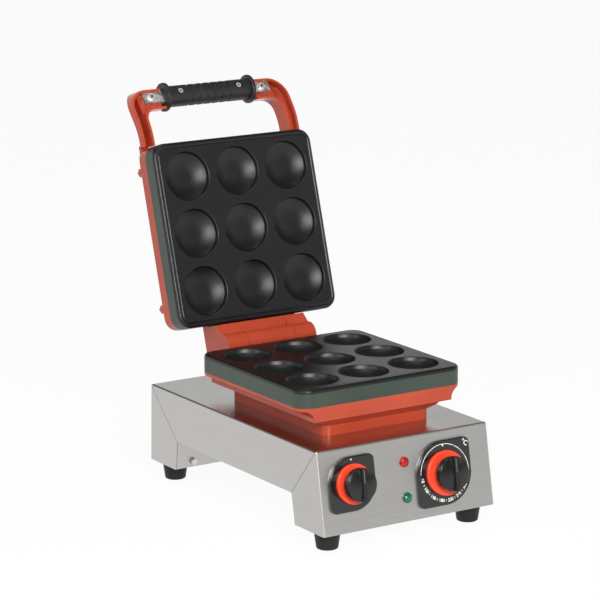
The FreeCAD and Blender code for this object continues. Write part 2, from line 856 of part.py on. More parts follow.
def cable_gland():
    """Gland for the supply cable on the rear panel, with its lock nut inside."""
    hex_height = GLAND_HEX_SHARE * S.gland_length
    cap_radius = GLAND_CAP_SHARE * S.gland_hex
    inside = S.sheet + S.gland_nut_thick + S.thread_out
    edge = S.gland_edge
    outer = fuse([
        cylinder(S.gland_radius, inside, -inside),
        hexagon(S.gland_hex, hex_height),
        cylinder(cap_radius, S.gland_length - hex_height - edge, hex_height),
        cone(cap_radius, GLAND_MOUTH_SHARE * S.gland_hex, edge, S.gland_length - edge)])
    bore = cylinder(S.gland_bore, inside + S.gland_length + 2 * S.overcut, -inside - S.overcut)
    on_rear(keep(cut(outer, bore), "cable_gland"), GLAND_X, S.gland_up)
    nut_z = -S.sheet - S.gland_nut_thick
    nut = hexagon(S.gland_nut_radius, S.gland_nut_thick, nut_z)
    thread = cylinder(S.gland_radius, S.gland_nut_thick + 2 * S.overcut, nut_z - S.overcut)
    on_rear(keep(cut(nut, thread), "cable_gland_nut"), GLAND_X, S.gland_up)


def earth_bolt():
    """Bonding bolt low on the inner wall of the rear leg."""
    slope = (S.rear_leg_top - S.rear_leg_foot) / S.arch_height
    wall_y = REAR_Y - S.rear_leg_foot - slope * S.earth_up
    back = -S.sheet - S.earth_gap - S.earth_head_height
    bolt = fuse([
        cylinder(S.earth_radius, S.earth_gap - back + 2 * S.overcut, back - S.overcut),
        hexagon(S.earth_head_radius, S.earth_head_height, S.earth_gap),
        hexagon(S.earth_head_radius, S.earth_head_height, back)])
    keep(bolt, "earth_bolt")
    place(bolt, EARTH_X, S.base_centre_y + wall_y, LEG_Z + S.earth_up, tilt=90.0)


def terminal_block():
    floor = ARCH_Z + S.sheet
    step = S.block_length / BLOCK_CELLS
    low = BLOCK_FLOOR_SHARE * S.block_height
    cell = (BLOCK_CELL_LENGTH * step, BLOCK_CELL_WIDTH * S.block_width, S.block_height)
    parts = [box(S.block_length, S.block_width, low, S.block_x, S.block_y, floor)]
    for index in range(BLOCK_CELLS):
        x = S.block_x + (index - (BLOCK_CELLS - 1) / 2) * step
        parts.append(box(*cell, x, S.block_y, floor))
    on_base(keep(fuse(parts), "terminal_block"))


# Cup plates and heaters

def cup_plate(name, studs):
    """A square plate, drawn with its back on z = 0, nine cups in its face and tapped holes in its back."""
    body = new_body(name)
    blank = rounded_box(new_sketch(body), PLATE_HALF, PLATE_HALF, S.plate_corner)
    pad(body, blank, S.plate_thick)
    round_edges(body, S.plate_lip, lambda edge: spans(edge, z=S.plate_thick))
    mouth = S.cup_radius
    foot_r = S.cup_radius - S.cup_wall_inset
    wall_z = S.plate_thick - S.cup_wall_depth
    run = foot_r - S.cup_flat
    dish = (run * run + S.cup_dish_depth * S.cup_dish_depth) / (2 * S.cup_dish_depth)
    floor = wall_z - S.cup_dish_depth
    cup = new_sketch(body, "XZ", S.cup_pitch)
    bind(cup, ".AttachmentOffset.Base.x", -S.cup_pitch)
    outline(cup, [
        (0.0, S.plate_thick), (mouth + S.cup_edge, S.plate_thick), (mouth, S.plate_thick - S.cup_edge),
        (foot_r, wall_z), (S.cup_flat, floor), (0.0, floor)], {1: S.cup_edge, 3: -dish})
    first = turn(body, cup, "Groove")
    pattern(body, first, [("X", 2 * S.cup_pitch, 3), ("Y", 2 * S.cup_pitch, 3)])
    recess_half = PLATE_HALF - S.plate_wall
    recess = rounded_box(new_sketch(body), recess_half, recess_half, S.plate_corner)
    pocket(body, recess, S.plate_recess, reverse=True)
    taps = holes(new_sketch(body), studs, S.stud_radius + S.fit_clearance)
    pocket(body, taps, S.stud_depth, reverse=True)
    return keep(body, name)


def heater(name):
    """A bent tube under the plate, with both ends at the middle of one side."""
    body = new_body(name)
    level = S.plate_recess - S.heater_radius - S.fit_clearance
    far = S.heater_reach
    bend = S.heater_bend
    tail = S.heater_tail_x
    start = far - S.heater_tail_length
    half_path = [(tail, start), (tail, far - bend), (tail + bend, far), (far - bend, far),
                 (far, far - bend), (far, bend - far), (far - bend, -far)]
    points = [(-x, y) for x, y in half_path] + half_path[::-1]
    path = new_sketch(body, "XY", level)
    outline(path, points, {1: bend, 3: bend, 5: bend, 7: bend, 9: bend, 11: bend}, closed=False)
    section = circle(new_sketch(body, "XZ", -start), -tail, level, S.heater_radius)
    doc.recompute()
    pipe = body.newObject("PartDesign::AdditivePipe", name + "_pipe")
    pipe.Profile = section
    pipe.Spine = path
    return keep(body, name)


# Lower casting

def lower_housing():
    """The casting under the lower plate: a coved block on a plinth, with the hinge barrel and the stop."""
    body = new_body("lower_housing")
    plinth = (S.plinth_width / 2, S.plinth_depth / 2, S.plinth_corner, S.plinth_shift)
    plinth_top = TOP_Z + S.plinth_height
    block_height = S.rim_thick + S.chin_height
    pad(body, rounded_box(new_sketch(body, "XY", TOP_Z), *plinth), S.plinth_height)
    loft(body, rounded_box(new_sketch(body, "XY", plinth_top), *plinth),
         rounded_box(new_sketch(body, "XY", CHIN_LOW_Z), CHIN_HALF, S.chin_depth / 2, S.plinth_corner))
    block = rounded_box(new_sketch(body, "XY", CHIN_LOW_Z), PLATE_HALF, PLATE_HALF, S.plate_corner)
    pad(body, block, block_height)
    coves = new_sketch(body, "XZ")
    lip_z = PLATE_BACK_Z - S.rim_lip
    under_z = CHIN_LOW_Z - S.overcut
    for side in (1.0, -1.0):
        far_x = side * (PLATE_HALF + S.overcut)
        foot_x = side * CHIN_HALF
        outline(coves, [
            (far_x, lip_z), (side * (PLATE_HALF - S.cove_inset), lip_z), (foot_x, lip_z - S.cove_radius),
            (foot_x, under_z), (far_x, under_z)], {1: side * S.cove_radius})
    pocket(body, coves, S.plate_side + 2 * S.overcut, symmetric=True)
    pocket(body, rounded_box(
        new_sketch(body, "XY", PLATE_BACK_Z), CHIN_HALF - S.cast_wall, S.chin_depth / 2 - S.cast_wall,
        S.plinth_corner), block_height)
    pocket(body, rounded_box(
        new_sketch(body, "XY", PLATE_BACK_Z), S.plinth_width / 2 - S.cast_wall,
        S.plinth_depth / 2 - S.cast_wall, S.plinth_corner, S.plinth_shift), S.casting_height - S.cast_floor)
    barrel_length = 2 * S.barrel_half
    inside_y = PLATE_HALF - S.cast_overlap
    bracket = outline(new_sketch(body, "YZ"), [
        (inside_y, RIM_LOW_Z), (HINGE_Y, HINGE_Z - BRACKET_UNDER * S.barrel_radius), (HINGE_Y, HINGE_Z),
        (HINGE_Y - BRACKET_FRONT * S.barrel_radius, HINGE_Z - BRACKET_DROP * S.barrel_radius),
        (PLATE_HALF + S.hinge_gap, PLATE_BACK_Z), (inside_y, PLATE_BACK_Z)])
    pad(body, bracket, barrel_length, symmetric=True)
    barrel = circle(new_sketch(body, "YZ"), HINGE_Y, HINGE_Z, S.barrel_radius)
    pad(body, barrel, barrel_length, symmetric=True)
    lean_cos = cosine(S.lid_open_angle)
    lean_sin = sine(S.lid_open_angle)
    stop_radius = S.barrel_radius + S.stop_gap

    def stop_point(along):
        return (HINGE_Y + stop_radius * lean_cos + along * lean_sin,
                HINGE_Z - stop_radius * lean_sin + along * lean_cos)

    heel_end = stop_point(S.stop_reach)
    heel_low = RIM_LOW_Z - S.stop_drop
    heel = outline(new_sketch(body, "YZ"), [
        (inside_y, RIM_LOW_Z), (inside_y, heel_low), (heel_end[0], heel_low), heel_end,
        stop_point(S.cast_overlap)])
    pad(body, heel, S.stop_width, symmetric=True)
    bore = circle(new_sketch(body, "YZ"), HINGE_Y, HINGE_Z, S.pin_radius)
    pocket(body, bore, barrel_length + 2 * S.overcut, symmetric=True)
    floor = holes(new_sketch(body, "XY", TOP_Z), ANCHORS, S.anchor_radius + S.fit_clearance)
    circle(floor, 0.0, 0.0, S.wire_hole_radius)
    pocket(body, floor, S.cast_floor + S.overcut, reverse=True)
    shanks = holes(new_sketch(body, "XY", PLATE_BACK_Z), LOWER_STUDS, S.stud_radius + S.fit_clearance)
    pocket(body, shanks, block_height + S.overcut)
    seats = holes(new_sketch(body, "XY", BOLT_SEAT_Z), LOWER_STUDS, S.stud_head_radius + S.fit_clearance)
    pocket(body, seats, BOLT_SEAT_Z - plinth_top)
    on_plates(keep(body, "lower_housing"))


def lower_plate_bolts():
    bolts = []
    length = PLATE_BACK_Z + S.stud_depth - S.overcut - BOLT_SEAT_Z
    for x, y in LOWER_STUDS:
        bolt = fuse([
            hexagon(S.stud_head_radius, S.stud_head_height, BOLT_SEAT_Z - S.stud_head_height),
            cylinder(S.stud_radius, length, BOLT_SEAT_Z)])
        bolts.append(place(bolt, x, y))
    on_plates(group(bolts, "lower_plate_bolts"))


def lower_housing_bolts():
    bolts = []
    nuts = []
    nut_z = TOP_Z - S.sheet - S.anchor_nut_height
    seat = TOP_Z + S.cast_floor
    for x, y in ANCHORS:
        bolt = fuse([
            hexagon(S.anchor_head_radius, S.anchor_head_height, seat),
            cylinder(S.anchor_radius, seat - nut_z + S.thread_out, nut_z - S.thread_out)])
        bolts.append(place(bolt, x, y))
        nut = cut(hexagon(S.anchor_head_radius, S.anchor_nut_height, nut_z),
                  cylinder(S.anchor_radius, S.anchor_nut_height + 2 * S.overcut, nut_z - S.overcut))
        nuts.append(place(nut, x, y))
    on_plates(group(bolts, "lower_housing_bolts"))
    on_plates(group(nuts, "lower_housing_nuts"))


def thermostat_bulb():
    level = S.plate_recess - S.bulb_radius - S.fit_clearance
    bulb = keep(cylinder(S.bulb_radius, S.bulb_length), "thermostat_bulb")
    across = Vector(0, 1, 0)
    place(bulb, -S.bulb_length / 2, PLATES_Y + S.bulb_y, PLATE_BACK_Z + level, tilt=90.0, axis=across)


# Hinge

def hinge():
    """The pin, fixed in the base's barrel, and the caps that close the lid's bores over its ends."""
    end = LUG_OUT - S.cap_thick - S.hinge_gap
    pin = keep(cylinder(S.pin_radius, 2 * end), "hinge_pin")
    across = Vector(0, 1, 0)
    place(pin, -end, PLATES_Y + HINGE_Y, HINGE_Z, tilt=90.0, axis=across)
    caps = []
    for x in (-LUG_OUT, LUG_OUT - S.cap_thick):
        cap = cylinder(S.pin_radius + S.pin_clearance, S.cap_thick)
        caps.append(place(cap, x, PLATES_Y + HINGE_Y, HINGE_Z, tilt=90.0, axis=across))
    group(caps, "hinge_caps")


# Lid

def upper_housing():
    body = new_body("upper_housing")
    pad(body, rounded_box(new_sketch(body, "XY", S.plate_thick), PLATE_HALF, PLATE_HALF, S.plate_corner),
        S.lid_rim_thick)
    round_edges(body, S.lid_round, lambda edge: spans(edge, z=RIM_BACK_W))
    crown_top = RIM_BACK_W + S.crown_height
    loft(body,
         rounded_box(new_sketch(body, "XY", RIM_BACK_W), S.crown_width / 2, S.crown_depth / 2,
                     S.crown_corner),
         rounded_box(new_sketch(body, "XY", crown_top), S.crown_top_width / 2, S.crown_top_depth / 2,
                     S.crown_corner))
    round_edges(body, S.lid_round, lambda edge: spans(edge, z=crown_top))
    loft(body,
         rounded_box(new_sketch(body, "XY", S.plate_thick), S.crown_width / 2 - S.cast_wall,
                     S.crown_depth / 2 - S.cast_wall, S.crown_corner),
         rounded_box(new_sketch(body, "XY", crown_top - S.cast_floor), S.crown_top_width / 2 - S.cast_wall,
                     S.crown_top_depth / 2 - S.cast_wall, S.crown_corner), "SubtractiveLoft")
    front_y = PLATE_HALF + S.hinge_gap * 2
    inside_y = PLATE_HALF - 5 * S.cast_overlap
    lug = [
        (HINGE_Y - S.barrel_radius, HINGE_W), (HINGE_Y, HINGE_W - S.barrel_radius),
        (HINGE_Y + S.barrel_radius, HINGE_W), (HINGE_Y + S.barrel_radius, S.lug_rise), (inside_y, S.lug_rise),
        (inside_y, S.plate_thick + S.hinge_gap), (front_y, S.plate_thick + S.hinge_gap),
        (front_y, S.cast_overlap + S.hinge_gap)]
    for start in (LUG_IN, -LUG_OUT):
        sketch = outline(new_sketch(body, "YZ", start), lug, {0: S.barrel_radius, 1: S.barrel_radius})
        pad(body, sketch, S.lug_length)
    round_barrel = S.barrel_radius + S.neck_clearance
    low = S.hinge_gap - HINGE_W
    front_reach = root(round_barrel * round_barrel - low * low)
    rear_rise = root(round_barrel * round_barrel - S.neck_rear * S.neck_rear)
    neck = outline(new_sketch(body, "YZ"), [
        (front_y, S.hinge_gap), (HINGE_Y - front_reach, S.hinge_gap),
        (HINGE_Y + S.neck_rear, HINGE_W + rear_rise), (HINGE_Y + S.neck_rear, S.lug_rise),
        (inside_y, S.lug_rise), (inside_y, S.plate_thick + S.hinge_gap),
        (front_y, S.plate_thick + S.hinge_gap)], {1: -round_barrel})
    pad(body, neck, 2 * S.neck_half, symmetric=True)
    bore = circle(new_sketch(body, "YZ"), HINGE_Y, HINGE_W, S.pin_radius + S.pin_clearance)
    pocket(body, bore, 2 * LUG_OUT + 2 * S.overcut, symmetric=True)
    rim = holes(new_sketch(body, "XY", RIM_BACK_W), STUDS, S.stud_radius + S.fit_clearance)
    bolt_y = S.arm_root - S.arm_bolt_inset - PLATE_HALF
    circle(rim, -ARM_BOLT_X, bolt_y, S.arm_bolt_radius + S.fit_clearance)
    circle(rim, ARM_BOLT_X, bolt_y, S.arm_bolt_radius + S.fit_clearance)
    pocket(body, rim, S.lid_rim_thick + S.overcut)
    on_lid(keep(body, "upper_housing"))


def upper_plate_nuts():
    nuts = []
    shank = S.lid_rim_thick + S.stud_depth - S.overcut
    for x, y in STUDS:
        nut = fuse([
            cylinder(S.stud_radius, shank, RIM_BACK_W - shank),
            hexagon(S.dome_hex_radius, S.dome_hex_height, RIM_BACK_W),
            dome(S.dome_radius, RIM_BACK_W + S.dome_hex_height)])
        nuts.append(place(nut, x, y))
    on_lid(group(nuts, "upper_plate_nuts"))


# Handle

def flat(points, arcs, mapping):
    """A face through points (a, b); arcs gives the middle point of the edge after a point."""
    edges = []
    for i, point in enumerate(points):
        start = mapping(*point)
        end = mapping(*points[(i + 1) % len(points)])
        if i in arcs:
            edges.append(Part.Arc(start, mapping(*arcs[i]), end).toShape())
        else:
            edges.append(Part.makeLine(start, end))
    return Part.Face(Part.Wire(edges))


def arm_band(front, back, x):
    """Side view of the bent arm at x, between two depths measured from its middle line."""
    bend = float(S.arm_bend_radius)
    angle = math.radians(float(S.arm_bend_angle))
    low_u = float(PLATE_HALF - S.arm_root)
    bend_u = float(BEND_U)
    mid_w = float(ARM_W)
    run = float(S.handle_rise)

    def at(depth, swing, along=0.0):
        radius = bend - depth
        return (bend_u + radius * math.sin(swing) + along * math.cos(swing),
                mid_w + bend - radius * math.cos(swing) + along * math.sin(swing))

    points = [(low_u, mid_w + front), at(front, 0.0), at(front, angle), at(front, angle, run),
              at(back, angle, run), at(back, angle), at(back, 0.0), (low_u, mid_w + back)]
    arcs = {1: at(front, angle / 2), 5: at(back, angle / 2)}
    return flat(points, arcs, lambda u, w: Vector(x, -u, w))


def arm_front(inset, low_u, end_x):
    """Front view of one arm with its stub, drawn in by inset, as a tall prism."""
    outer_x = float(S.arm_x + S.arm_width / 2) - inset
    inner_x = float(S.arm_x - S.arm_width / 2) + inset
    top_u = float(PLATE_HALF + S.handle_rise) - inset
    under_u = float(PLATE_HALF + S.handle_rise - S.cross_height) + inset
    outer_r = float(S.arm_corner) - inset
    inner_r = float(S.arm_inner_corner) + inset
    diagonal = math.sqrt(0.5)
    points = [(outer_x, low_u), (outer_x, top_u - outer_r), (outer_x - outer_r, top_u), (end_x, top_u),
              (end_x, under_u), (inner_x - inner_r, under_u), (inner_x, under_u - inner_r), (inner_x, low_u)]
    arcs = {
        1: (outer_x - outer_r * (1 - diagonal), top_u - outer_r * (1 - diagonal)),
        5: (inner_x - inner_r * (1 - diagonal), under_u - inner_r * (1 - diagonal))}
    height = float(CROSS_W + 2 * S.arm_depth)
    return flat(points, arcs, lambda x, u: Vector(x, -u, 0)).extrude(Vector(0, 0, height))


def handle_arm(name, mirror):
    """A bent channel on the lid's edge, with a stub that takes one end of the handle bar."""
    half = float(S.arm_depth / 2)
    wall = float(S.arm_wall)
    stub = float(S.stub_end)
    inner_x = float(S.arm_x - S.arm_width / 2)
    root_u = float(PLATE_HALF - S.arm_root)
    lid_edge = float(PLATE_HALF + S.hinge_gap)
    width = float(S.arm_width)
    slant = Vector(width, 0, float(S.arm_outer_depth - S.arm_depth))
    across = Vector(inner_x + width - stub, 0, 0)
    shape = arm_band(-half, half, stub).extrude(across).common(arm_front(0.0, root_u, stub))
    shape = shape.cut(arm_band(half, 3 * half, inner_x).extrude(slant))
    overcut = float(S.overcut)
    open_end = stub - overcut
    channel = arm_front(wall, lid_edge, open_end)
    arm_hollow = arm_band(-3 * half, half - wall, inner_x).extrude(slant)
    inward = Vector(inner_x + wall - open_end, 0, 0)
    stub_hollow = arm_band(-3 * half, float(BAR_BACK), open_end).extrude(inward)
    shape = shape.cut(channel.common(arm_hollow)).cut(channel.common(stub_hollow))
    rim_w = float(RIM_BACK_W)
    under = Part.makeBox(
        2 * width, lid_edge - root_u + 2 * overcut, rim_w, Vector(inner_x - width / 2, -lid_edge, 0))
    shape = shape.cut(under)
    foot_height = float(S.arm_foot_height)
    foot_width = float(S.arm_foot_width)
    pad_block = Part.makeBox(
        foot_width, lid_edge - root_u + wall, foot_height, Vector(inner_x, -lid_edge - wall, rim_w))
    shape = shape.fuse(pad_block)
    bolt_u = root_u + float(S.arm_bolt_inset)
    bolt_r = float(S.arm_bolt_radius + S.fit_clearance)
    head_r = float(S.arm_bolt_head_radius + S.fit_clearance)
    seat = Vector(float(ARM_BOLT_X), -bolt_u, rim_w)
    up = Vector(0, 0, 1)
    shape = shape.cut(Part.makeCylinder(bolt_r, foot_height + overcut, seat, up))
    shape = shape.cut(Part.makeCylinder(head_r, 2 * half, seat + up * foot_height, up))
    tilt = math.radians(float(S.arm_bend_angle))
    back = Vector(0, math.sin(tilt), math.cos(tilt))
    middle = Vector(float(S.bar_screw_x), -float(CROSS_U), float(CROSS_W))
    screw_r = float(S.bar_screw_radius + S.fit_clearance)
    screw_end = float(BAR_FRONT + S.bar_thick + S.bar_screw_grip + S.overcut)
    screw_start = middle + back * float(BAR_FRONT)
    shape = shape.cut(Part.makeCylinder(screw_r, screw_end - float(BAR_FRONT), screw_start, back))
    shape = shape.removeSplitter()
    if mirror:
        shape = shape.mirror(Vector(0, 0, 0), Vector(1, 0, 0))
    arm = doc.addObject("Part::Feature", name + "_shape")
    arm.Shape = shape
    on_lid(keep(arm, name))


def handle_arm_bolts():
    bolts = []
    seat = RIM_BACK_W + S.arm_foot_height
    length = S.arm_foot_height + S.lid_rim_thick
    bolt_y = S.arm_root - S.arm_bolt_inset - PLATE_HALF
    for x in (-ARM_BOLT_X, ARM_BOLT_X):
        bolt = fuse([
            hexagon(S.arm_bolt_head_radius, S.arm_bolt_head_height, seat),
            cylinder(S.arm_bolt_radius, length, seat - length)])
        bolts.append(place(bolt, x, bolt_y))
    on_lid(group(bolts, "handle_arm_bolts"))


def handle_bar():
    drills = []
    for x in (-S.bar_screw_x, S.bar_screw_x):
        drill = cylinder(S.bar_screw_radius + S.fit_clearance, S.bar_thick + 2 * S.overcut)
        drills.append(place(drill, x, 0.0, BAR_FRONT - S.overcut))
    for x in (-S.grip_screw_x, S.grip_screw_x):
        drill = cylinder(S.grip_screw_radius + S.fit_clearance, S.bar_thick + 2 * S.overcut)
        drills.append(place(drill, x, 0.0, BAR_FRONT - S.overcut))
    strip = box(2 * S.bar_half, S.bar_height, S.bar_thick, z=BAR_FRONT)
    on_cross(keep(cut(strip, fuse(drills)), "handle_bar"))


def handle_screws(label, spots, head, head_height, radius, seat, length):
    """Screws into the bar, with their heads towards the lid's face."""
    screws = []
    for x in spots:
        screw = fuse([cylinder(head, head_height, seat - head_height), cylinder(radius, length, seat)])
        screws.append(place(screw, x))
    on_cross(group(screws, label))


def handle_grip():
    body = new_body("handle_grip")
    half = S.grip_length / 2
    edge = S.grip_edge
    flange = S.grip_flange_radius
    inner = half - S.grip_flange_thick
    right = [(inner, S.grip_radius), (inner, flange - edge), (inner + edge, flange), (half - edge, flange),
             (half, flange - edge), (half, 0.0)]
    left = [(-x, r) for x, r in right[::-1]]
    sketch = new_sketch(body, "XY", BAR_MID)
    turn(body, outline(sketch, left + right, {1: -edge, 3: -edge, 7: -edge, 9: -edge}), axis="H_Axis")
    first_x = -(GRIP_RIBS - 1) / 2 * S.grip_rib_pitch
    deep = S.grip_radius - S.grip_rib_depth
    high = S.grip_radius + S.grip_rib_depth
    rib = outline(new_sketch(body, "XY", BAR_MID), [
        (first_x - S.grip_rib_width / 2, high), (first_x - S.grip_rib_width / 4, deep),
        (first_x + S.grip_rib_width / 4, deep), (first_x + S.grip_rib_width / 2, high)])
    groove = turn(body, rib, "Groove", "H_Axis")
    pattern(body, groove, [("X", (GRIP_RIBS - 1) * S.grip_rib_pitch, GRIP_RIBS)])
    wide = S.bar_height / 2 + S.fit_clearance
    low = BAR_FRONT - S.fit_clearance
    high_z = BAR_FRONT + S.bar_thick + S.fit_clearance
    slot = outline(new_sketch(body, "YZ"), [(-wide, low), (wide, low), (wide, high_z), (-wide, high_z)])
    pocket(body, slot, S.grip_length + 2 * S.overcut, symmetric=True)
    spots = [(-S.grip_screw_x, 0.0), (S.grip_screw_x, 0.0)]
    shanks = holes(new_sketch(body, "XY", BAR_MID), spots, S.grip_screw_radius + S.fit_clearance)
    pocket(body, shanks, S.grip_radius + S.overcut)
    seat = BAR_MID - S.grip_radius + S.grip_screw_sink
    heads = holes(new_sketch(body, "XY", seat), spots, S.grip_screw_head_radius + S.fit_clearance)
    pocket(body, heads, S.grip_screw_sink + S.overcut)
    on_cross(keep(body, "handle_grip"))


# Controls

def bezel(name, x, up, radius):
    """A disc with its top right and bottom left corners squared."""
    body = new_body(name)
    corner = S.bezel_corner
    straight = radius - corner
    shape = outline(new_sketch(body), [
        (radius, 0.0), (radius, straight), (straight, radius), (0.0, radius),
        (-radius, 0.0), (-radius, -straight), (-straight, -radius), (0.0, -radius)],
        {1: corner, 3: radius, 5: corner, 7: radius})
    pad(body, shape, S.bezel_thick)
    round_edges(body, S.bezel_edge, lambda edge: spans(edge, z=S.bezel_thick))
    hole = circle(new_sketch(body, "XY", S.bezel_thick), 0.0, 0.0, S.shaft_hole_radius)
    pocket(body, hole, S.bezel_thick + S.overcut)
    on_panel(keep(body, name), x, up)


def knob(name, x, up, radius, ring_radius):
    """A domed knob with a grip ridge on a narrower hub, and the coloured ring round the hub."""
    body = new_body(name)
    hub = S.knob_hub_radius
    ring_top = KNOB_Z + S.ring_thick
    flare = ring_top + S.knob_hub_rise
    side = flare + S.knob_flare
    rim = side + S.knob_side
    crown = (radius * radius + S.knob_dome * S.knob_dome) / (2 * S.knob_dome)
    turn(body, outline(new_sketch(body, "XZ"), [
        (0.0, KNOB_Z), (hub, KNOB_Z), (hub, flare), (radius, side), (radius, rim), (0.0, rim + S.knob_dome)],
        {4: crown}))
    round_edges(body, S.bezel_edge, lambda edge: spans(edge, z=rim) or spans(edge, z=side))
    top = rim + S.knob_dome + S.knob_ridge_rise
    ridge = outline(new_sketch(body, "XZ"), [
        (-S.knob_ridge / 2, side), (S.knob_ridge / 2, side), (S.knob_ridge / 4, top),
        (-S.knob_ridge / 4, top)])
    pad(body, ridge, 2 * root(radius * radius - S.knob_ridge * S.knob_ridge / 4), symmetric=True)
    socket = circle(new_sketch(body, "XY", KNOB_Z), 0.0, 0.0, S.shaft_radius)
    pocket(body, socket, S.knob_socket, reverse=True)
    on_panel(keep(body, name), x, up)
    ring_body = new_body(name + "_ring")
    ring = circle(new_sketch(ring_body, "XY", KNOB_Z), 0.0, 0.0, ring_radius)
    circle(ring, 0.0, 0.0, hub)
    pad(ring_body, ring, S.ring_thick)
    round_edges(ring_body, S.bezel_edge, lambda edge: spans(edge, z=ring_top) and near(
        edge.BoundBox.XLength, 2 * ring_radius))
    on_panel(keep(ring_body, name + "_ring"), x, up)


def control(name, x, up):
    """The switching body behind the panel and the shaft that turns in it."""
    bore = S.shaft_radius + S.shaft_clearance
    bush = S.shaft_hole_radius - S.fit_clearance
    block = fuse([
        box(S.control_side, S.control_side, S.control_depth, z=-S.sheet - S.control_depth),
        cylinder(bush, 2 * S.sheet, -2 * S.sheet)])
    body = cut(block, cylinder(bore, S.shaft_in + 2 * S.overcut, -S.shaft_in - S.overcut))
    on_panel(keep(body, name + "_body"), x, up)
    shaft = keep(cylinder(S.shaft_radius, S.shaft_in + KNOB_Z + S.knob_socket), name + "_shaft")
    on_panel(shaft, x, up, -S.shaft_in)


def lamp(name, up):
    lens = doc.addObject("Part::Ellipsoid", "Lens")
    bind(lens, "Radius1", S.lamp_lens_height - S.lamp_collar)
    bind(lens, "Radius2", LENS_SHARE * S.lamp_lens_radius)
    lens.Angle1 = 0
    lens.Angle2 = 90
    place(lens, z=S.lamp_collar)
    body = fuse([
        cylinder(S.lamp_body_radius, S.lamp_body_length, -S.lamp_body_length),
        cylinder(S.lamp_lens_radius, S.lamp_collar), lens])
    on_panel(keep(body, name), LAMP_X, up)


def lamp_nuts():
    nuts = []
    for up in (S.red_lamp_up, S.green_lamp_up):
        nut_z = -S.sheet - S.lamp_nut_thick
        nut = cut(hexagon(S.lamp_nut_radius, S.lamp_nut_thick, nut_z),
                  cylinder(S.lamp_body_radius, S.lamp_nut_thick + 2 * S.overcut, nut_z - S.overcut))
        nuts.append(place(nut, 0.0, up))
    on_panel(group(nuts, "lamp_nuts"), LAMP_X, 0.0)


base_front()
base_top()
base_rear()
bottom_cover()
for foot_name, (foot_x, foot_y) in FEET.items():
    foot(foot_name, foot_x, foot_y)
foot_screws()
bottom_cover_screws()
cable_gland()
earth_bolt()
terminal_block()
lower_housing()
on_plates(cup_plate("lower_plate", LOWER_STUDS), PLATE_BACK_Z)
on_plates(heater("lower_heater"), PLATE_BACK_Z)
lower_plate_bolts()
lower_housing_bolts()
thermostat_bulb()
hinge()
upper_housing()
on_lid(cup_plate("upper_plate", STUDS), S.plate_thick, turn_by=180.0)
on_lid(heater("upper_heater"), S.plate_thick, turn_by=180.0)
upper_plate_nuts()
handle_arm("handle_arm_left", True)
handle_arm("handle_arm_right", False)
handle_arm_bolts()
handle_bar()
handle_screws("handle_bar_screws", (-S.bar_screw_x, S.bar_screw_x), S.bar_screw_head_radius,
              S.bar_screw_head_height, S.bar_screw_radius, BAR_FRONT, S.bar_thick + S.bar_screw_grip)
handle_screws("grip_screws", (-S.grip_screw_x, S.grip_screw_x), S.grip_screw_head_radius,
              S.grip_screw_head_height, S.grip_screw_radius, BAR_MID - S.grip_radius + S.grip_screw_sink,
              S.grip_radius - S.grip_screw_sink + S.bar_thick / 2)
handle_grip()
bezel("switch_bezel", SWITCH_X, S.switch_up, S.switch_bezel_radius)
bezel("thermostat_bezel", THERMOSTAT_X, S.thermostat_up, S.thermostat_bezel_radius)
knob("switch_knob", SWITCH_X, S.switch_up, S.switch_knob_radius, S.switch_ring_radius)
knob("thermostat_knob", THERMOSTAT_X, S.thermostat_up, S.thermostat_knob_radius, S.thermostat_ring_radius)
control("switch", SWITCH_X, S.switch_up)
control("thermostat", THERMOSTAT_X, S.thermostat_up)
lamp("red_lamp", S.red_lamp_up)
lamp("green_lamp", S.green_lamp_up)
lamp_nuts()

doc.recompute()
faults = [thing.Label for thing in doc.Objects if "Invalid" in thing.State or "Error" in thing.State]
for piece in pieces:
    if piece.Shape.isNull() or not piece.Shape.isValid():
        faults.append(piece.Label)
if faults:
    raise RuntimeError("Faulty: " + ", ".join(faults))

os.makedirs("parts", exist_ok=True)
for piece in pieces:
    piece.Shape.exportStep("parts/%s.step" % piece.Label)
    print("%s: %d solid(s), %.0f mm3" % (piece.Label, len(piece.Shape.Solids), piece.Shape.Volume))
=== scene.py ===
import bpy
import json
import math
from mathutils import Matrix, Vector


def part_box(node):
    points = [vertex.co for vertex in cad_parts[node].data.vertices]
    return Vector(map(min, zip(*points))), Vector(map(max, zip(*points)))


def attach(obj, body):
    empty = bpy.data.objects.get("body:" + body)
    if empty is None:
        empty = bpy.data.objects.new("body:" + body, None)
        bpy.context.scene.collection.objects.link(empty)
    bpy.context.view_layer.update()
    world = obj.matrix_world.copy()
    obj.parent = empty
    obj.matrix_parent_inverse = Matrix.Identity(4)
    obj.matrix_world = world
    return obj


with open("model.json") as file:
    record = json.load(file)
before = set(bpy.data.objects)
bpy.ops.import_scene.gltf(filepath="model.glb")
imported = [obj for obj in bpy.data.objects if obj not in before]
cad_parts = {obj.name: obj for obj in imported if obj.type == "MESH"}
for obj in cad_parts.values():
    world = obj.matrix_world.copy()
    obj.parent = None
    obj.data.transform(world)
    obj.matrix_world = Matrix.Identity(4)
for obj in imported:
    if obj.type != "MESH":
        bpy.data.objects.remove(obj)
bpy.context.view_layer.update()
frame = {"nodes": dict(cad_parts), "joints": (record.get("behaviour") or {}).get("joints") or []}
nodes = frame["nodes"]

# Lengths are in metres, as in the frame, and angles in degrees.

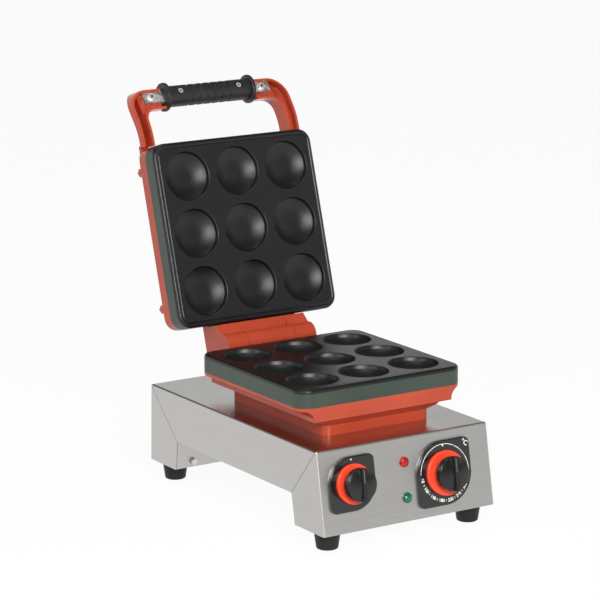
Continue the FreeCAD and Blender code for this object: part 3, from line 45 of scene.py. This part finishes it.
# The photograph's view, as fitted to it. The image size and the focal length are in pixels.
IMAGE_SIZE = 600.0
CAMERA_AZIMUTH = -32.692
CAMERA_ELEVATION = 12.804
CAMERA_ROLL = -0.239
CAMERA_DISTANCE = 3.4417
CAMERA_TARGET_X = -0.021525
CAMERA_TARGET_Z = 0.248523
CAMERA_TARGET_AHEAD = 0.109714
CAMERA_FOCAL_PIXELS = 2886.1
CAMERA_NEAR = 0.1
CAMERA_FAR = 50.0
SENSOR_MM = 36.0

# The lamps, all aimed at one point: name, place, size, power in watts and colour.
LAMP_TARGET = Vector((0.0, 0.0, 0.2))
LAMPS = (
    ("key", (-0.8, -2.25, 1.25), (1.0, 0.6), 60.0, (1.0, 0.985, 0.965)),
    ("left", (-2.1, -0.5, 1.3), (0.9, 0.9), 15.0, (1.0, 1.0, 1.0)),
    ("fill", (1.9, -1.5, 1.2), (0.8, 1.2), 4.0, (1.0, 1.0, 1.0)),
    ("top", (-0.1, 0.1, 2.4), (0.7, 0.7), 12.0, (1.0, 1.0, 1.0)),
)

# Half the floor's side, and the share of plain white in what the camera sees of it.
FLOOR_HALF = 12.0
FLOOR_GLOW = 0.94

# The light that the surroundings give to matt surfaces.
WORLD_LIGHT = 0.30

# What glossy surfaces mirror, by height on the unit sphere: white up to the horizon's top, then falling to
# the sky's light at the sky's low edge. The white reaches higher behind the model than in front of it, and
# the backdrop's side is how far in front and behind that rise starts and ends.
HORIZON_TOP = 0.0
SKY_LOW = 0.12
SKY_LIGHT = 0.12
BACKDROP_RISE = 0.23
BACKDROP_SIDE = 0.25

# The brushed sheet: grain per metre along and across the strokes, and the least share of a normal along X
# on the sides and along Z on the top.
GRAIN_LONG = 14.0
GRAIN_FINE = 2600.0
SIDE_FACING = 0.7
TOP_FACING = 0.9

# The cup plates: the outline, the gap between the shut faces, the black lip over a dark line of painted shade
# in the gap under it, a grey-green band on the edge, and the groove round the face, darkened as painted
# shade. A skin is how far below a surface a point still counts as on it.
PLATE_LOW, PLATE_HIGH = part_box("lower_plate")
PLATE_HALF = (PLATE_HIGH.x - PLATE_LOW.x) / 2
PLATE_CORNER = 0.017
PLATE_GAP = 0.0004
PLATE_LIP = 0.0036
EDGE_SKIN = 0.0012
BAND_BELOW_LIP = 0.0004
BAND_WANDER = 0.0001
# Half the width of the dark line of painted shade just under the lip.
LIP_SHADE_HALF = 0.0006
FACE_SKIN = 0.001
GROOVE_INSET = 0.0058
GROOVE_HALF = 0.0014
GROOVE_DEEP = 0.0010

# Prints on the bezels: how far they lie in and above the surface, the letters' em size over their height,
# and how much bolder than the font they are.
BEZEL_THICK = 0.004
PRINT_SUNK = 0.00002
PRINT_PROUD = 0.00005
FONT_SIZE_PER_HEIGHT = 1.45
FONT_BOLD = 0.00012

# The thermostat's dial: an arc, the scale in degrees Celsius with ticks between its numbers, and the unit.
# Angles run from the right. A mark is half its width, the radius of its base and that of its tip.
ARC_RADIUS = 0.0338
ARC_WIDTH = 0.0007
ARC_START = -4.0
ARC_END = 176.0
ARC_STEPS = 64
SCALE_RADIUS = 0.0325
SCALE_START = 188.0
SCALE_STEP = 22.5
SCALE_COUNT = 7
SCALE_LOW = 60
SCALE_RISE = 40
NUMBER_HEIGHT = 0.0036
TICK_LENGTH = 0.0026
TICK_WIDTH = 0.0006
UNIT_ASIDE = 0.0312
UNIT_HEIGHT = 0.0058
UNIT_TURN = -30.0
DIAL_MARK = (0.0016, 0.0335, 0.0305)
SWITCH_MARK = (0.0013, 0.0290, 0.0266)

# The line on each knob's top: the knob's reach from its axis, and the line's middle and length as shares
# of that reach.
KNOB_TOP = 0.029
KNOB_REACH = {"switch": 0.018, "thermostat": 0.019}
POINTER_MIDDLE = 0.55
POINTER_LENGTH = 0.85
POINTER_WIDTH = 0.0009
POINTER_SUNK = 0.0001
POINTER_PROUD = 0.00006

# Dark crosses of painted shade for the cross recesses of the handle's screws: the node, the pieces' label and
# the arms' length. The arms' width is a share of their length. A head's faces have at least the last share of
# their normal along the lid's front.
CROSSES = (("grip_screws", "grip_cross_shade", 0.0040), ("handle_bar_screws", "bar_cross_shade", 0.0054))
CROSS_ANGLE = 38.0
CROSS_WIDTH = 0.27
CROSS_SUNK = 0.0003
CROSS_PROUD = 0.00004
HEAD_FACING = 0.7

# The base's weld lines. They start past the fold, which takes this share of the mitre.
SEAM_START = 0.035
SEAM_WIDTH = 0.0007
SEAM_SUNK = 0.0002
SEAM_PROUD = 0.00004


def joint(name):
    return next(item for item in frame["joints"] if item["name"] == name)


RIGHT = Vector((1, 0, 0))
UP = Vector((0, 0, 1))
HINGE = Vector(joint("lid_hinge")["pos_m"])
LID_OPEN = math.radians(joint("lid_hinge")["range_deg"][1])
LID_UP = Vector((0, -math.cos(LID_OPEN), math.sin(LID_OPEN)))
LID_BACK = Vector((0, math.sin(LID_OPEN), math.cos(LID_OPEN)))
PANEL_OUT = Vector(joint("switch_turn")["axis"]).normalized()
PANEL_UP = PANEL_OUT.cross(RIGHT).normalized()
CAMERA_TARGET = Vector((CAMERA_TARGET_X, HINGE.y - CAMERA_TARGET_AHEAD, CAMERA_TARGET_Z))


# Node helpers

class Nodes:
    """The node tree of a material or a world, built with short calls."""

    def __init__(self, owner):
        owner.use_nodes = True
        self.tree = owner.node_tree
        self.places = self.add("ShaderNodeTexCoord").outputs

    def add(self, kind, **settings):
        node = self.tree.nodes.new(kind)
        for key, value in settings.items():
            setattr(node, key, value)
        return node

    def feed(self, socket, value):
        if isinstance(value, bpy.types.NodeSocket):
            self.tree.links.new(value, socket)
        else:
            socket.default_value = value

    def math(self, operation, *values):
        node = self.add("ShaderNodeMath", operation=operation)
        for socket, value in zip(node.inputs, values):
            self.feed(socket, value)
        return node.outputs[0]

    def subtract(self, first, second):
        node = self.add("ShaderNodeVectorMath", operation="SUBTRACT")
        self.feed(node.inputs[0], first)
        self.feed(node.inputs[1], second)
        return node.outputs["Vector"]

    def dot(self, first, second):
        node = self.add("ShaderNodeVectorMath", operation="DOT_PRODUCT")
        self.feed(node.inputs[0], first)
        self.feed(node.inputs[1], second)
        return node.outputs["Value"]

    def split(self, vector):
        node = self.add("ShaderNodeSeparateXYZ")
        self.feed(node.inputs[0], vector)
        return node.outputs

    def span(self, value, low, high, start=0.0, end=1.0):
        """Map a value from start and end to low and high, and hold it between them."""
        node = self.add("ShaderNodeMapRange")
        self.feed(node.inputs["Value"], value)
        node.inputs["From Min"].default_value = start
        node.inputs["From Max"].default_value = end
        node.inputs["To Min"].default_value = low
        node.inputs["To Max"].default_value = high
        return node.outputs[0]

    def blend(self, factor, first, second):
        """Mix two numbers."""
        node = self.add("ShaderNodeMix", data_type="FLOAT")
        self.feed(node.inputs["Factor"], factor)
        self.feed(node.inputs[2], first)
        self.feed(node.inputs[3], second)
        return node.outputs[0]


class Surface(Nodes):
    """A new material with one Principled shader and textures in the frame's coordinates."""

    def __init__(self, name):
        self.material = bpy.data.materials.new(name)
        super().__init__(self.material)
        self.shader = self.tree.nodes["Principled BSDF"]
        self.coords = self.places["Object"]

    def set(self, **values):
        """Set the shader's own inputs: words joined by underscores name a socket."""
        for key, value in values.items():
            self.feed(self.shader.inputs[key.replace("_", " ")], value)

    def stretch(self, scale):
        node = self.add("ShaderNodeMapping")
        self.feed(node.inputs["Vector"], self.coords)
        node.inputs["Scale"].default_value = scale
        return node.outputs[0]

    def noise(self, scale, detail=2.0, rough=0.5, vector=None):
        node = self.add("ShaderNodeTexNoise")
        self.feed(node.inputs["Vector"], vector or self.coords)
        node.inputs["Scale"].default_value = scale
        node.inputs["Detail"].default_value = detail
        node.inputs["Roughness"].default_value = rough
        return node.outputs["Fac"]

    def cells(self, scale):
        node = self.add("ShaderNodeTexVoronoi")
        self.feed(node.inputs["Vector"], self.coords)
        node.inputs["Scale"].default_value = scale
        return node.outputs

    def ramp(self, value, *stops):
        node = self.add("ShaderNodeValToRGB")
        self.feed(node.inputs[0], value)
        elements = node.color_ramp.elements
        while len(elements) < len(stops):
            elements.new(0.5)
        for element, (place, colour) in zip(elements, stops):
            element.position = place
            element.color = (*colour, 1.0)
        return node.outputs[0]

    def mix(self, factor, first, second):
        """Mix two colours."""
        node = self.add("ShaderNodeMix", data_type="RGBA")
        self.feed(node.inputs["Factor"], factor)
        for socket, value in ((node.inputs[6], first), (node.inputs[7], second)):
            self.feed(socket, value if isinstance(value, bpy.types.NodeSocket) else (*value, 1.0))
        return node.outputs[2]

    def weigh(self, first, first_share, second, second_share):
        """The sum of two values, each times its share."""
        return self.math("ADD", self.math("MULTIPLY", first, first_share),
                         self.math("MULTIPLY", second, second_share))

    def bump(self, height, strength, distance):
        node = self.add("ShaderNodeBump")
        node.inputs["Strength"].default_value = strength
        node.inputs["Distance"].default_value = distance
        self.feed(node.inputs["Height"], height)
        self.feed(self.shader.inputs["Normal"], node.outputs[0])


# Materials

def grey(level):
    return (level, level, level)


def brushed_stainless():
    """Brushed sheet: the grain runs along X on the panels and along Y on the sides. The top is glossier."""
    n = Surface("brushed_stainless")
    along_x = n.noise(1.0, 3.0, 0.6, n.stretch((GRAIN_LONG, GRAIN_FINE, GRAIN_FINE)))
    along_y = n.noise(1.0, 3.0, 0.6, n.stretch((GRAIN_FINE, GRAIN_LONG, GRAIN_FINE)))
    facing = n.split(n.places["Normal"])
    side = n.math("GREATER_THAN", n.math("ABSOLUTE", facing["X"]), SIDE_FACING)
    top = n.math("GREATER_THAN", facing["Z"], TOP_FACING)
    grain = n.blend(side, along_x, along_y)
    cloud = n.noise(5.0, 3.0)
    smudge = n.noise(38.0, 4.0, 0.6)
    tone = n.ramp(grain, (0.25, (0.475, 0.462, 0.445)), (0.75, (0.585, 0.572, 0.553)))
    uneven = n.math("ADD", n.span(cloud, -0.03, 0.04), n.span(smudge, -0.02, 0.03))
    matt = n.math("ADD", n.span(grain, 0.30, 0.44), uneven)
    n.set(Base_Color=n.mix(n.span(cloud, 0.0, 0.3, 0.35, 0.7), tone, (0.55, 0.542, 0.53)), Metallic=1.0,
          Roughness=n.math("SUBTRACT", matt, n.math("MULTIPLY", top, 0.16)))
    n.bump(grain, 0.10, 0.00015)
    return n.material


def enamel():
    """Glossy orange-red enamel on a casting, with a faint orange-peel surface."""
    n = Surface("red_enamel")
    cloud = n.noise(9.0, 4.0)
    peel = n.noise(420.0, 2.0)
    speck = n.noise(2600.0, 1.0)
    tone = n.ramp(cloud, (0.3, (0.37, 0.046, 0.020)), (0.7, (0.45, 0.062, 0.028)))
    n.set(Base_Color=n.mix(n.span(speck, 0.0, 0.25, 0.55, 0.8), tone, (0.52, 0.12, 0.06)),
          Roughness=n.span(cloud, 0.16, 0.24), Specular_IOR_Level=0.3, Coat_Weight=0.08, Coat_Roughness=0.05)
    n.bump(n.math("ADD", peel, n.math("MULTIPLY", speck, 0.2)), 0.10, 0.0004)
    return n.material


def past_outline(n, local, up):
    """How far a point lies outside a plate's rounded outline, below 0 for a point inside it."""
    straight = PLATE_HALF - PLATE_CORNER
    across = n.math("SUBTRACT", n.math("ABSOLUTE", n.split(local)["X"]), straight)
    along = n.math("SUBTRACT", n.math("ABSOLUTE", n.dot(local, up)), straight)
    gap_across = n.math("MAXIMUM", across, 0.0)
    gap_along = n.math("MAXIMUM", along, 0.0)
    square_across = n.math("MULTIPLY", gap_across, gap_across)
    square_along = n.math("MULTIPLY", gap_along, gap_along)
    outside = n.math("SQRT", n.math("ADD", square_across, square_along))
    inside = n.math("MINIMUM", n.math("MAXIMUM", across, along), 0.0)
    return n.math("SUBTRACT", n.math("ADD", outside, inside), PLATE_CORNER)


def plate_coating(name, origin, up, out):
    """Black non-stick face with a grooved line inside its lip, darkened as painted shade, a dark line of
    painted shade in the gap under the lip, and a grey-green band round the edge.
    """
    n = Surface(name)
    local = n.subtract(n.coords, origin)
    depth = n.math("MULTIPLY", n.dot(local, out), -1.0)
    rim = past_outline(n, local, up)
    edge = n.math("GREATER_THAN", rim, -EDGE_SKIN)
    wander = n.span(n.noise(60.0, 2.0), -BAND_WANDER, BAND_WANDER)
    below = n.math("GREATER_THAN", n.math("ADD", depth, wander), PLATE_LIP + BAND_BELOW_LIP)
    band = n.math("MULTIPLY", edge, below)
    # Painted shade: a near-black line on the edge just under the lip, standing in for the shaded gap beneath
    # it.
    line = n.math("MULTIPLY", edge, n.math("COMPARE", depth, PLATE_LIP + LIP_SHADE_HALF, LIP_SHADE_HALF))
    groove = n.span(n.math("ABSOLUTE", n.math("ADD", rim, GROOVE_INSET)), 1.0, 0.0, 0.0, GROOVE_HALF)
    groove = n.math("MULTIPLY", groove, n.math("LESS_THAN", depth, FACE_SKIN))
    grain = n.noise(850.0, 4.0, 0.7)
    cloud = n.noise(14.0, 4.0)
    black = n.ramp(grain, (0.3, (0.0030, 0.0034, 0.0034)), (0.8, (0.009, 0.010, 0.010)))
    green = n.ramp(cloud, (0.3, (0.030, 0.046, 0.034)), (0.7, (0.044, 0.062, 0.047)))
    # Painted shade: the groove round the face is darkened towards near-black, besides the bump that shapes
    # it.
    coated = n.mix(n.math("MULTIPLY", groove, 0.7), n.mix(band, black, green), grey(0.003))
    rough = n.math("ADD", n.span(grain, 0.23, 0.39), n.span(cloud, -0.03, 0.03))
    n.set(Base_Color=n.mix(line, coated, grey(0.003)), Roughness=n.blend(band, rough, 0.44),
          Specular_IOR_Level=0.42)
    n.bump(n.math("SUBTRACT", n.math("MULTIPLY", grain, 0.30), groove), 0.8, GROOVE_DEEP)
    return n.material


def plain(name, dark, light, rough, scale=300.0, bump=0.1, metal=0.0, **more):
    """A moulded or turned surface with fine grain: two tones, uneven gloss and a slight bump."""
    n = Surface(name)
    grain = n.noise(scale, 3.0, 0.55)
    cloud = n.noise(scale / 25.0, 3.0)
    mixed = n.weigh(grain, 0.6, cloud, 0.4)
    n.set(Base_Color=n.ramp(mixed, (0.3, dark), (0.7, light)), Metallic=metal,
          Roughness=n.span(mixed, rough[0], rough[1], 0.3, 0.7), **more)
    n.bump(grain, bump, 0.0002)
    return n.material


def zinc():
    """Zinc plating with its mottled flakes."""
    n = Surface("mottled_zinc")
    flake = n.split(n.cells(210.0)["Color"])["X"]
    smear = n.noise(90.0, 5.0, 0.65)
    value = n.weigh(flake, 0.35, smear, 0.65)
    tone = n.ramp(value, (0.25, (0.30, 0.28, 0.26)), (0.5, (0.74, 0.73, 0.71)), (0.75, (0.95, 0.95, 0.94)))
    n.set(Base_Color=tone, Metallic=0.85, Roughness=n.span(value, 0.22, 0.5))
    n.bump(smear, 0.25, 0.0004)
    return n.material


def lens(name, dark, light):
    """A coloured lens with moulded facets, its tone darker at each facet's middle and lighter towards its
    edges as painted light and shade of the facets.
    """
    n = Surface(name)
    facet_bump_and_shade = n.cells(520.0)["Distance"]
    # Painted light and shade: the tone runs from dark at each facet's middle to light at its edges, with
    # random tone mixed in.
    tone = n.ramp(n.weigh(facet_bump_and_shade, 0.5, n.noise(260.0, 2.0), 0.6), (0.2, dark), (0.8, light))
    n.set(Base_Color=tone, Roughness=0.14, Specular_IOR_Level=0.4, Coat_Weight=0.3, Coat_Roughness=0.05)
    n.bump(facet_bump_and_shade, 0.35, 0.0008)
    return n.material


# Finishes of the CAD nodes

def dress(material, *names):
    for name in names:
        mesh = nodes[name].data
        mesh.materials.clear()
        mesh.materials.append(material)


def dress_base():
    dress(brushed_stainless(), "base_front", "base_top", "base_rear", "bottom_cover")
    dress(plain("foot_rubber", grey(0.006), grey(0.014), (0.45, 0.6), 500.0, Specular_IOR_Level=0.3),
          "foot_front_left", "foot_front_right", "foot_rear_left", "foot_rear_right")
    dress(plain("gland_plastic", grey(0.010), grey(0.025), (0.35, 0.5), 600.0),
          "cable_gland", "cable_gland_nut")


def dress_controls():
    dress(plain("bezel_plastic", grey(0.0045), grey(0.009), (0.16, 0.24), 500.0, 0.04,
                Coat_Weight=0.4, Coat_Roughness=0.08), "switch_bezel", "thermostat_bezel")
    dress(plain("knob_plastic", grey(0.006), grey(0.013), (0.20, 0.30), 900.0, 0.06, Specular_IOR_Level=0.45),
          "switch_knob", "thermostat_knob")
    dress(plain("ring_plastic", (0.78, 0.042, 0.012), (0.92, 0.075, 0.028), (0.32, 0.42), 400.0, 0.05),
          "switch_knob_ring", "thermostat_knob_ring")
    dress(lens("red_lens", (0.09, 0.001, 0.002), (0.50, 0.010, 0.012)), "red_lamp")
    dress(lens("green_lens", (0.0, 0.025, 0.012), (0.006, 0.18, 0.085)), "green_lamp")
    dress(plain("control_plastic", (0.60, 0.58, 0.53), (0.76, 0.74, 0.69), (0.4, 0.55)),
          "switch_body", "thermostat_body", "terminal_block")


def dress_castings():
    dress(enamel(), "lower_housing", "upper_housing", "handle_arm_left", "handle_arm_right", "hinge_caps",
          "upper_plate_nuts")


def dress_plates():
    lower_face = Vector((0, (PLATE_LOW.y + PLATE_HIGH.y) / 2, PLATE_HIGH.z))
    dress(plate_coating("lower_coating", lower_face, Vector((0, 1, 0)), UP), "lower_plate")
    shut_face = lower_face + UP * PLATE_GAP
    lid_face = HINGE + Matrix.Rotation(-LID_OPEN, 3, "X") @ (shut_face - HINGE)
    dress(plate_coating("lid_coating", lid_face, LID_UP, -LID_BACK), "upper_plate")


def dress_handle():
    dress(zinc(), "handle_bar")
    dress(plain("grip_plastic", grey(0.008), grey(0.020), (0.36, 0.50), 900.0, 0.2, Specular_IOR_Level=0.45),
          "handle_grip")
    dress(plain("bright_screw", (0.80, 0.80, 0.79), (0.95, 0.95, 0.94), (0.30, 0.45), 700.0, 0.05, 0.7),
          "grip_screws", "handle_bar_screws")


def dress_metal():
    """The fasteners, shafts and heaters."""
    dress(plain("bright_plating", (0.55, 0.54, 0.52), (0.80, 0.79, 0.77), (0.16, 0.32), 700.0, 0.05, 1.0),
          "foot_screws", "bottom_cover_screws", "earth_bolt", "lower_plate_bolts", "lower_housing_bolts",
          "lower_housing_nuts", "hinge_pin", "handle_arm_bolts", "switch_shaft", "thermostat_shaft",
          "lamp_nuts")
    dress(plain("heater_steel", (0.12, 0.10, 0.09), (0.34, 0.31, 0.29), (0.35, 0.55), metal=1.0),
          "lower_heater", "upper_heater", "thermostat_bulb")


# Small pieces drawn on the model

class Flat:
    """Collects thin shapes between two heights over a plane and makes one mesh of them."""

    def __init__(self, origin, right, up, out, low, high):
        self.place = Matrix((right, up, out)).transposed().to_4x4()
        self.place.translation = origin
        self.low = low
        self.high = high
        self.points = []
        self.faces = []

    def add(self, points, faces):
        start = len(self.points)
        self.points += [self.place @ Vector(point) for point in points]
        self.faces += [tuple(start + i for i in face) for face in faces]

    def slab(self, corners):
        """A closed slab over a convex outline given counter-clockwise."""
        count = len(corners)
        points = [(x, y, height) for height in (self.low, self.high) for x, y in corners]
        faces = [tuple(range(count))[::-1], tuple(range(count, 2 * count))]
        faces += [(i, (i + 1) % count, count + (i + 1) % count, count + i) for i in range(count)]
        self.add(points, faces)

    def mark(self, half, base, tip):
        """A small triangle above the middle that points down at it."""
        self.slab([(-half, base), (0.0, tip), (half, base)])

    def bar(self, x, y, length, width, angle):
        along = Vector((math.cos(angle), math.sin(angle)))
        aside = Vector((-along.y, along.x))
        middle = Vector((x, y))
        ends = [middle + along * (i * length / 2) + aside * (j * width / 2)
                for i, j in ((-1, -1), (1, -1), (1, 1), (-1, 1))]
        self.slab([tuple(end) for end in ends])

    def arc(self, radius, width, start, end, steps):
        inner = radius - width / 2
        outer = radius + width / 2
        for i in range(steps):
            first = start + (end - start) * i / steps
            last = start + (end - start) * (i + 1) / steps
            self.slab([(r * math.cos(a), r * math.sin(a))
                       for r, a in ((inner, first), (outer, first), (outer, last), (inner, last))])

    def text(self, words, x, y, height, angle):
        curve = bpy.data.curves.new("words", "FONT")
        curve.body = words
        curve.offset = FONT_BOLD
        curve.size = height * FONT_SIZE_PER_HEIGHT
        curve.align_x = "CENTER"
        curve.align_y = "CENTER"
        curve.extrude = (self.high - self.low) / 2
        holder = bpy.data.objects.new("words", curve)
        mesh = bpy.data.meshes.new_from_object(holder)
        turn = Matrix.Translation((x, y, (self.low + self.high) / 2)) @ Matrix.Rotation(angle, 4, "Z")
        points = [turn @ vertex.co for vertex in mesh.vertices]
        self.add(points, [tuple(face.vertices) for face in mesh.polygons])
        bpy.data.objects.remove(holder)
        bpy.data.meshes.remove(mesh)
        bpy.data.curves.remove(curve)

    def make(self, name, material, body, slot):
        mesh = bpy.data.meshes.new(name)
        mesh.from_pydata([tuple(point) for point in self.points], [], self.faces)
        mesh.materials.append(material)
        piece = bpy.data.objects.new(name, mesh)
        bpy.context.scene.collection.objects.link(piece)
        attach(piece, body)


def panel_plane(joint_name, surface, sunk, proud):
    """A plane square to a knob's axis, for shapes that lie on a surface at that height over the panel."""
    origin = Vector(joint(joint_name)["pos_m"])
    return Flat(origin, RIGHT, PANEL_UP, PANEL_OUT, surface - sunk, surface + proud)


def on_scale(angle):
    return (SCALE_RADIUS * math.cos(angle), SCALE_RADIUS * math.sin(angle))


def make_bezel_prints():
    """White marks: the thermostat dial's arc, rest mark, scale and unit, and the switch's rest mark."""
    ink = plain("dial_ink", grey(0.74), (0.86, 0.86, 0.85), (0.45, 0.6), 900.0, 0.04)
    dial = panel_plane("thermostat_turn", BEZEL_THICK, PRINT_SUNK, PRINT_PROUD)
    dial.arc(ARC_RADIUS, ARC_WIDTH, math.radians(ARC_START), math.radians(ARC_END), ARC_STEPS)
    dial.mark(*DIAL_MARK)
    for index in range(SCALE_COUNT):
        angle = math.radians(SCALE_START + SCALE_STEP * index)
        words = str(SCALE_LOW + SCALE_RISE * index)
        dial.text(words, *on_scale(angle), NUMBER_HEIGHT, angle + math.pi / 2)
        if index:
            between = angle - math.radians(SCALE_STEP / 2)
            dial.bar(*on_scale(between), TICK_LENGTH, TICK_WIDTH, between)
    dial.text("\u00b0C", UNIT_ASIDE, UNIT_ASIDE, UNIT_HEIGHT, math.radians(UNIT_TURN))
    dial.make("dial_print", ink, "base", "bezel_plastic")
    switch = panel_plane("switch_turn", BEZEL_THICK, PRINT_SUNK, PRINT_PROUD)
    switch.mark(*SWITCH_MARK)
    switch.make("switch_print", ink, "base", "bezel_plastic")


def make_knob_lines():
    """The pale pointer line along each knob's ridge."""
    ink = plain("pointer_ink", grey(0.10), grey(0.16), (0.4, 0.55), 900.0, 0.04)
    for body, reach in KNOB_REACH.items():
        knob = panel_plane(body + "_turn", KNOB_TOP, POINTER_SUNK, POINTER_PROUD)
        knob.bar(0.0, reach * POINTER_MIDDLE, reach * POINTER_LENGTH, POINTER_WIDTH, math.pi / 2)
        knob.make(body + "_pointer", ink, body, "knob_plastic")


def screw_head(node, side):
    """The middle and outward normal of the flat head on the left (-1) or right (1) of the lid's front."""
    turn = node.matrix_world.to_3x3()
    middle = Vector()
    out = Vector()
    total = 0.0
    for face in node.data.polygons:
        normal = turn @ face.normal
        centre = node.matrix_world @ face.center
        if normal.dot(-LID_BACK) > HEAD_FACING and centre.x * side > 0:
            middle += centre * face.area
            out += normal * face.area
            total += face.area
    return middle / total, out.normalized()


def make_crosses():
    """Dark crosses on the flat heads of the handle's screws, painted shade for their cross recesses."""
    # Painted shade: thin dark slabs on the flat heads stand in for the shaded cross recesses.
    shade = plain("recess_shade", grey(0.010), grey(0.028), (0.5, 0.65), 900.0, 0.04)
    first = math.radians(CROSS_ANGLE)
    for name, label, length in CROSSES:
        for word, side in (("left", -1), ("right", 1)):
            middle, out = screw_head(nodes[name], side)
            plane = Flat(middle, RIGHT, out.cross(RIGHT), out, -CROSS_SUNK, CROSS_PROUD)
            for angle in (first, first + math.pi / 2):
                plane.bar(0.0, 0.0, length, length * CROSS_WIDTH, angle)
            plane.make(label + "_" + word, shade, "lid", "fastener")


def make_seams():
    """Ground weld lines along the mitres of the base's sides, from the fold to the side's arch."""
    weld = plain("weld_line", (0.10, 0.098, 0.095), (0.26, 0.25, 0.245), (0.4, 0.6), 1500.0, 0.2, 1.0)
    top_low, top_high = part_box("base_top")
    front_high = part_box("base_front")[1]
    rear_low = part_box("base_rear")[0]
    mitres = ((Vector((top_low.y, top_high.z)), Vector((front_high.y, top_low.z))),
              (Vector((top_high.y, top_high.z)), Vector((rear_low.y, top_low.z))))
    for name, x, out in (("weld_left", top_low.x, -1), ("weld_right", top_high.x, 1)):
        inward = Vector((-out, 0, 0))
        side = Flat(Vector((x, 0, 0)), Vector((0, -out, 0)), UP, inward, -SEAM_PROUD, SEAM_SUNK)
        for corner, arch in mitres:
            run = arch - corner
            start = corner + run * SEAM_START
            middle = (start + arch) / 2
            angle = math.atan2(run.y, -out * run.x)
            side.bar(middle.x * -out, middle.y, (arch - start).length, SEAM_WIDTH, angle)
        side.make(name, weld, "base", "stainless")


# Camera and stage

def make_camera():
    azimuth = math.radians(CAMERA_AZIMUTH)
    elevation = math.radians(CAMERA_ELEVATION)
    level = math.cos(elevation)
    back = Vector((math.sin(azimuth) * level, -math.cos(azimuth) * level, math.sin(elevation)))
    camera = bpy.data.objects.new("camera", bpy.data.cameras.new("camera"))
    bpy.context.scene.collection.objects.link(camera)
    camera.data.sensor_width = SENSOR_MM
    camera.data.lens = CAMERA_FOCAL_PIXELS / IMAGE_SIZE * SENSOR_MM
    camera.data.clip_start = CAMERA_NEAR
    camera.data.clip_end = CAMERA_FAR
    turn = (-back).to_track_quat("-Z", "Y").to_matrix().to_4x4()
    roll = Matrix.Rotation(math.radians(CAMERA_ROLL), 4, "Z")
    camera.matrix_world = Matrix.Translation(CAMERA_TARGET + back * CAMERA_DISTANCE) @ turn @ roll
    bpy.context.scene.camera = camera


def make_lamps():
    for name, place, size, power, colour in LAMPS:
        light = bpy.data.lights.new(name, "AREA")
        light.shape = "RECTANGLE"
        light.size, light.size_y = size
        light.energy = power
        light.color = colour
        lamp = bpy.data.objects.new(name, light)
        bpy.context.scene.collection.objects.link(lamp)
        lamp.location = place
        lamp.rotation_euler = (LAMP_TARGET - Vector(place)).to_track_quat("-Z", "Y").to_euler()


def make_floor():
    """Pale paper, most of it plain white to the camera and in what metal and glass send on."""
    mesh = bpy.data.meshes.new("floor")
    corners = [(x * FLOOR_HALF, y * FLOOR_HALF, 0) for x, y in ((-1, -1), (1, -1), (1, 1), (-1, 1))]
    mesh.from_pydata(corners, [], [(0, 1, 2, 3)])
    floor = bpy.data.objects.new("floor", mesh)
    bpy.context.scene.collection.objects.link(floor)
    n = Surface("floor_paper")
    n.set(Base_Color=n.ramp(n.noise(30.0), (0.3, grey(0.86)), (0.7, grey(0.88))), Roughness=0.9)
    path = n.add("ShaderNodeLightPath").outputs
    direct = n.math("MAXIMUM", path["Is Camera Ray"], path["Is Glossy Ray"])
    direct = n.math("MAXIMUM", direct, path["Is Transmission Ray"])
    mixed = n.add("ShaderNodeMixShader")
    n.feed(mixed.inputs[0], n.math("MULTIPLY", direct, FLOOR_GLOW))
    n.feed(mixed.inputs[1], n.shader.outputs[0])
    n.feed(mixed.inputs[2], n.add("ShaderNodeEmission").outputs[0])
    n.feed(n.tree.nodes["Material Output"].inputs["Surface"], mixed.outputs[0])
    mesh.materials.append(n.material)


def make_world():
    """White to the camera. What surfaces mirror is white low down and behind, and darker elsewhere."""
    world = bpy.data.worlds.new("studio")
    bpy.context.scene.world = world
    n = Nodes(world)
    direction = n.split(n.places["Generated"])
    rise = n.span(direction["Y"], 0.0, BACKDROP_RISE, -BACKDROP_SIDE, BACKDROP_SIDE)
    sky = n.span(n.math("SUBTRACT", direction["Z"], rise), 1.0, SKY_LIGHT, HORIZON_TOP, SKY_LOW)
    sky.node.interpolation_type = "SMOOTHSTEP"
    path = n.add("ShaderNodeLightPath").outputs
    mirrored = n.math("MAXIMUM", path["Is Glossy Ray"], path["Is Transmission Ray"])
    strength = n.blend(path["Is Camera Ray"], n.blend(mirrored, WORLD_LIGHT, sky), 1.0)
    background = n.tree.nodes["Background"]
    n.feed(background.inputs["Color"], (1, 1, 1, 1))
    n.feed(background.inputs["Strength"], strength)


make_camera()
make_lamps()
make_floor()
make_world()
bpy.context.scene.view_settings.view_transform = "Standard"

dress_base()
dress_controls()
dress_castings()
dress_plates()
dress_handle()
dress_metal()

make_bezel_prints()
make_knob_lines()
make_crosses()
make_seams()
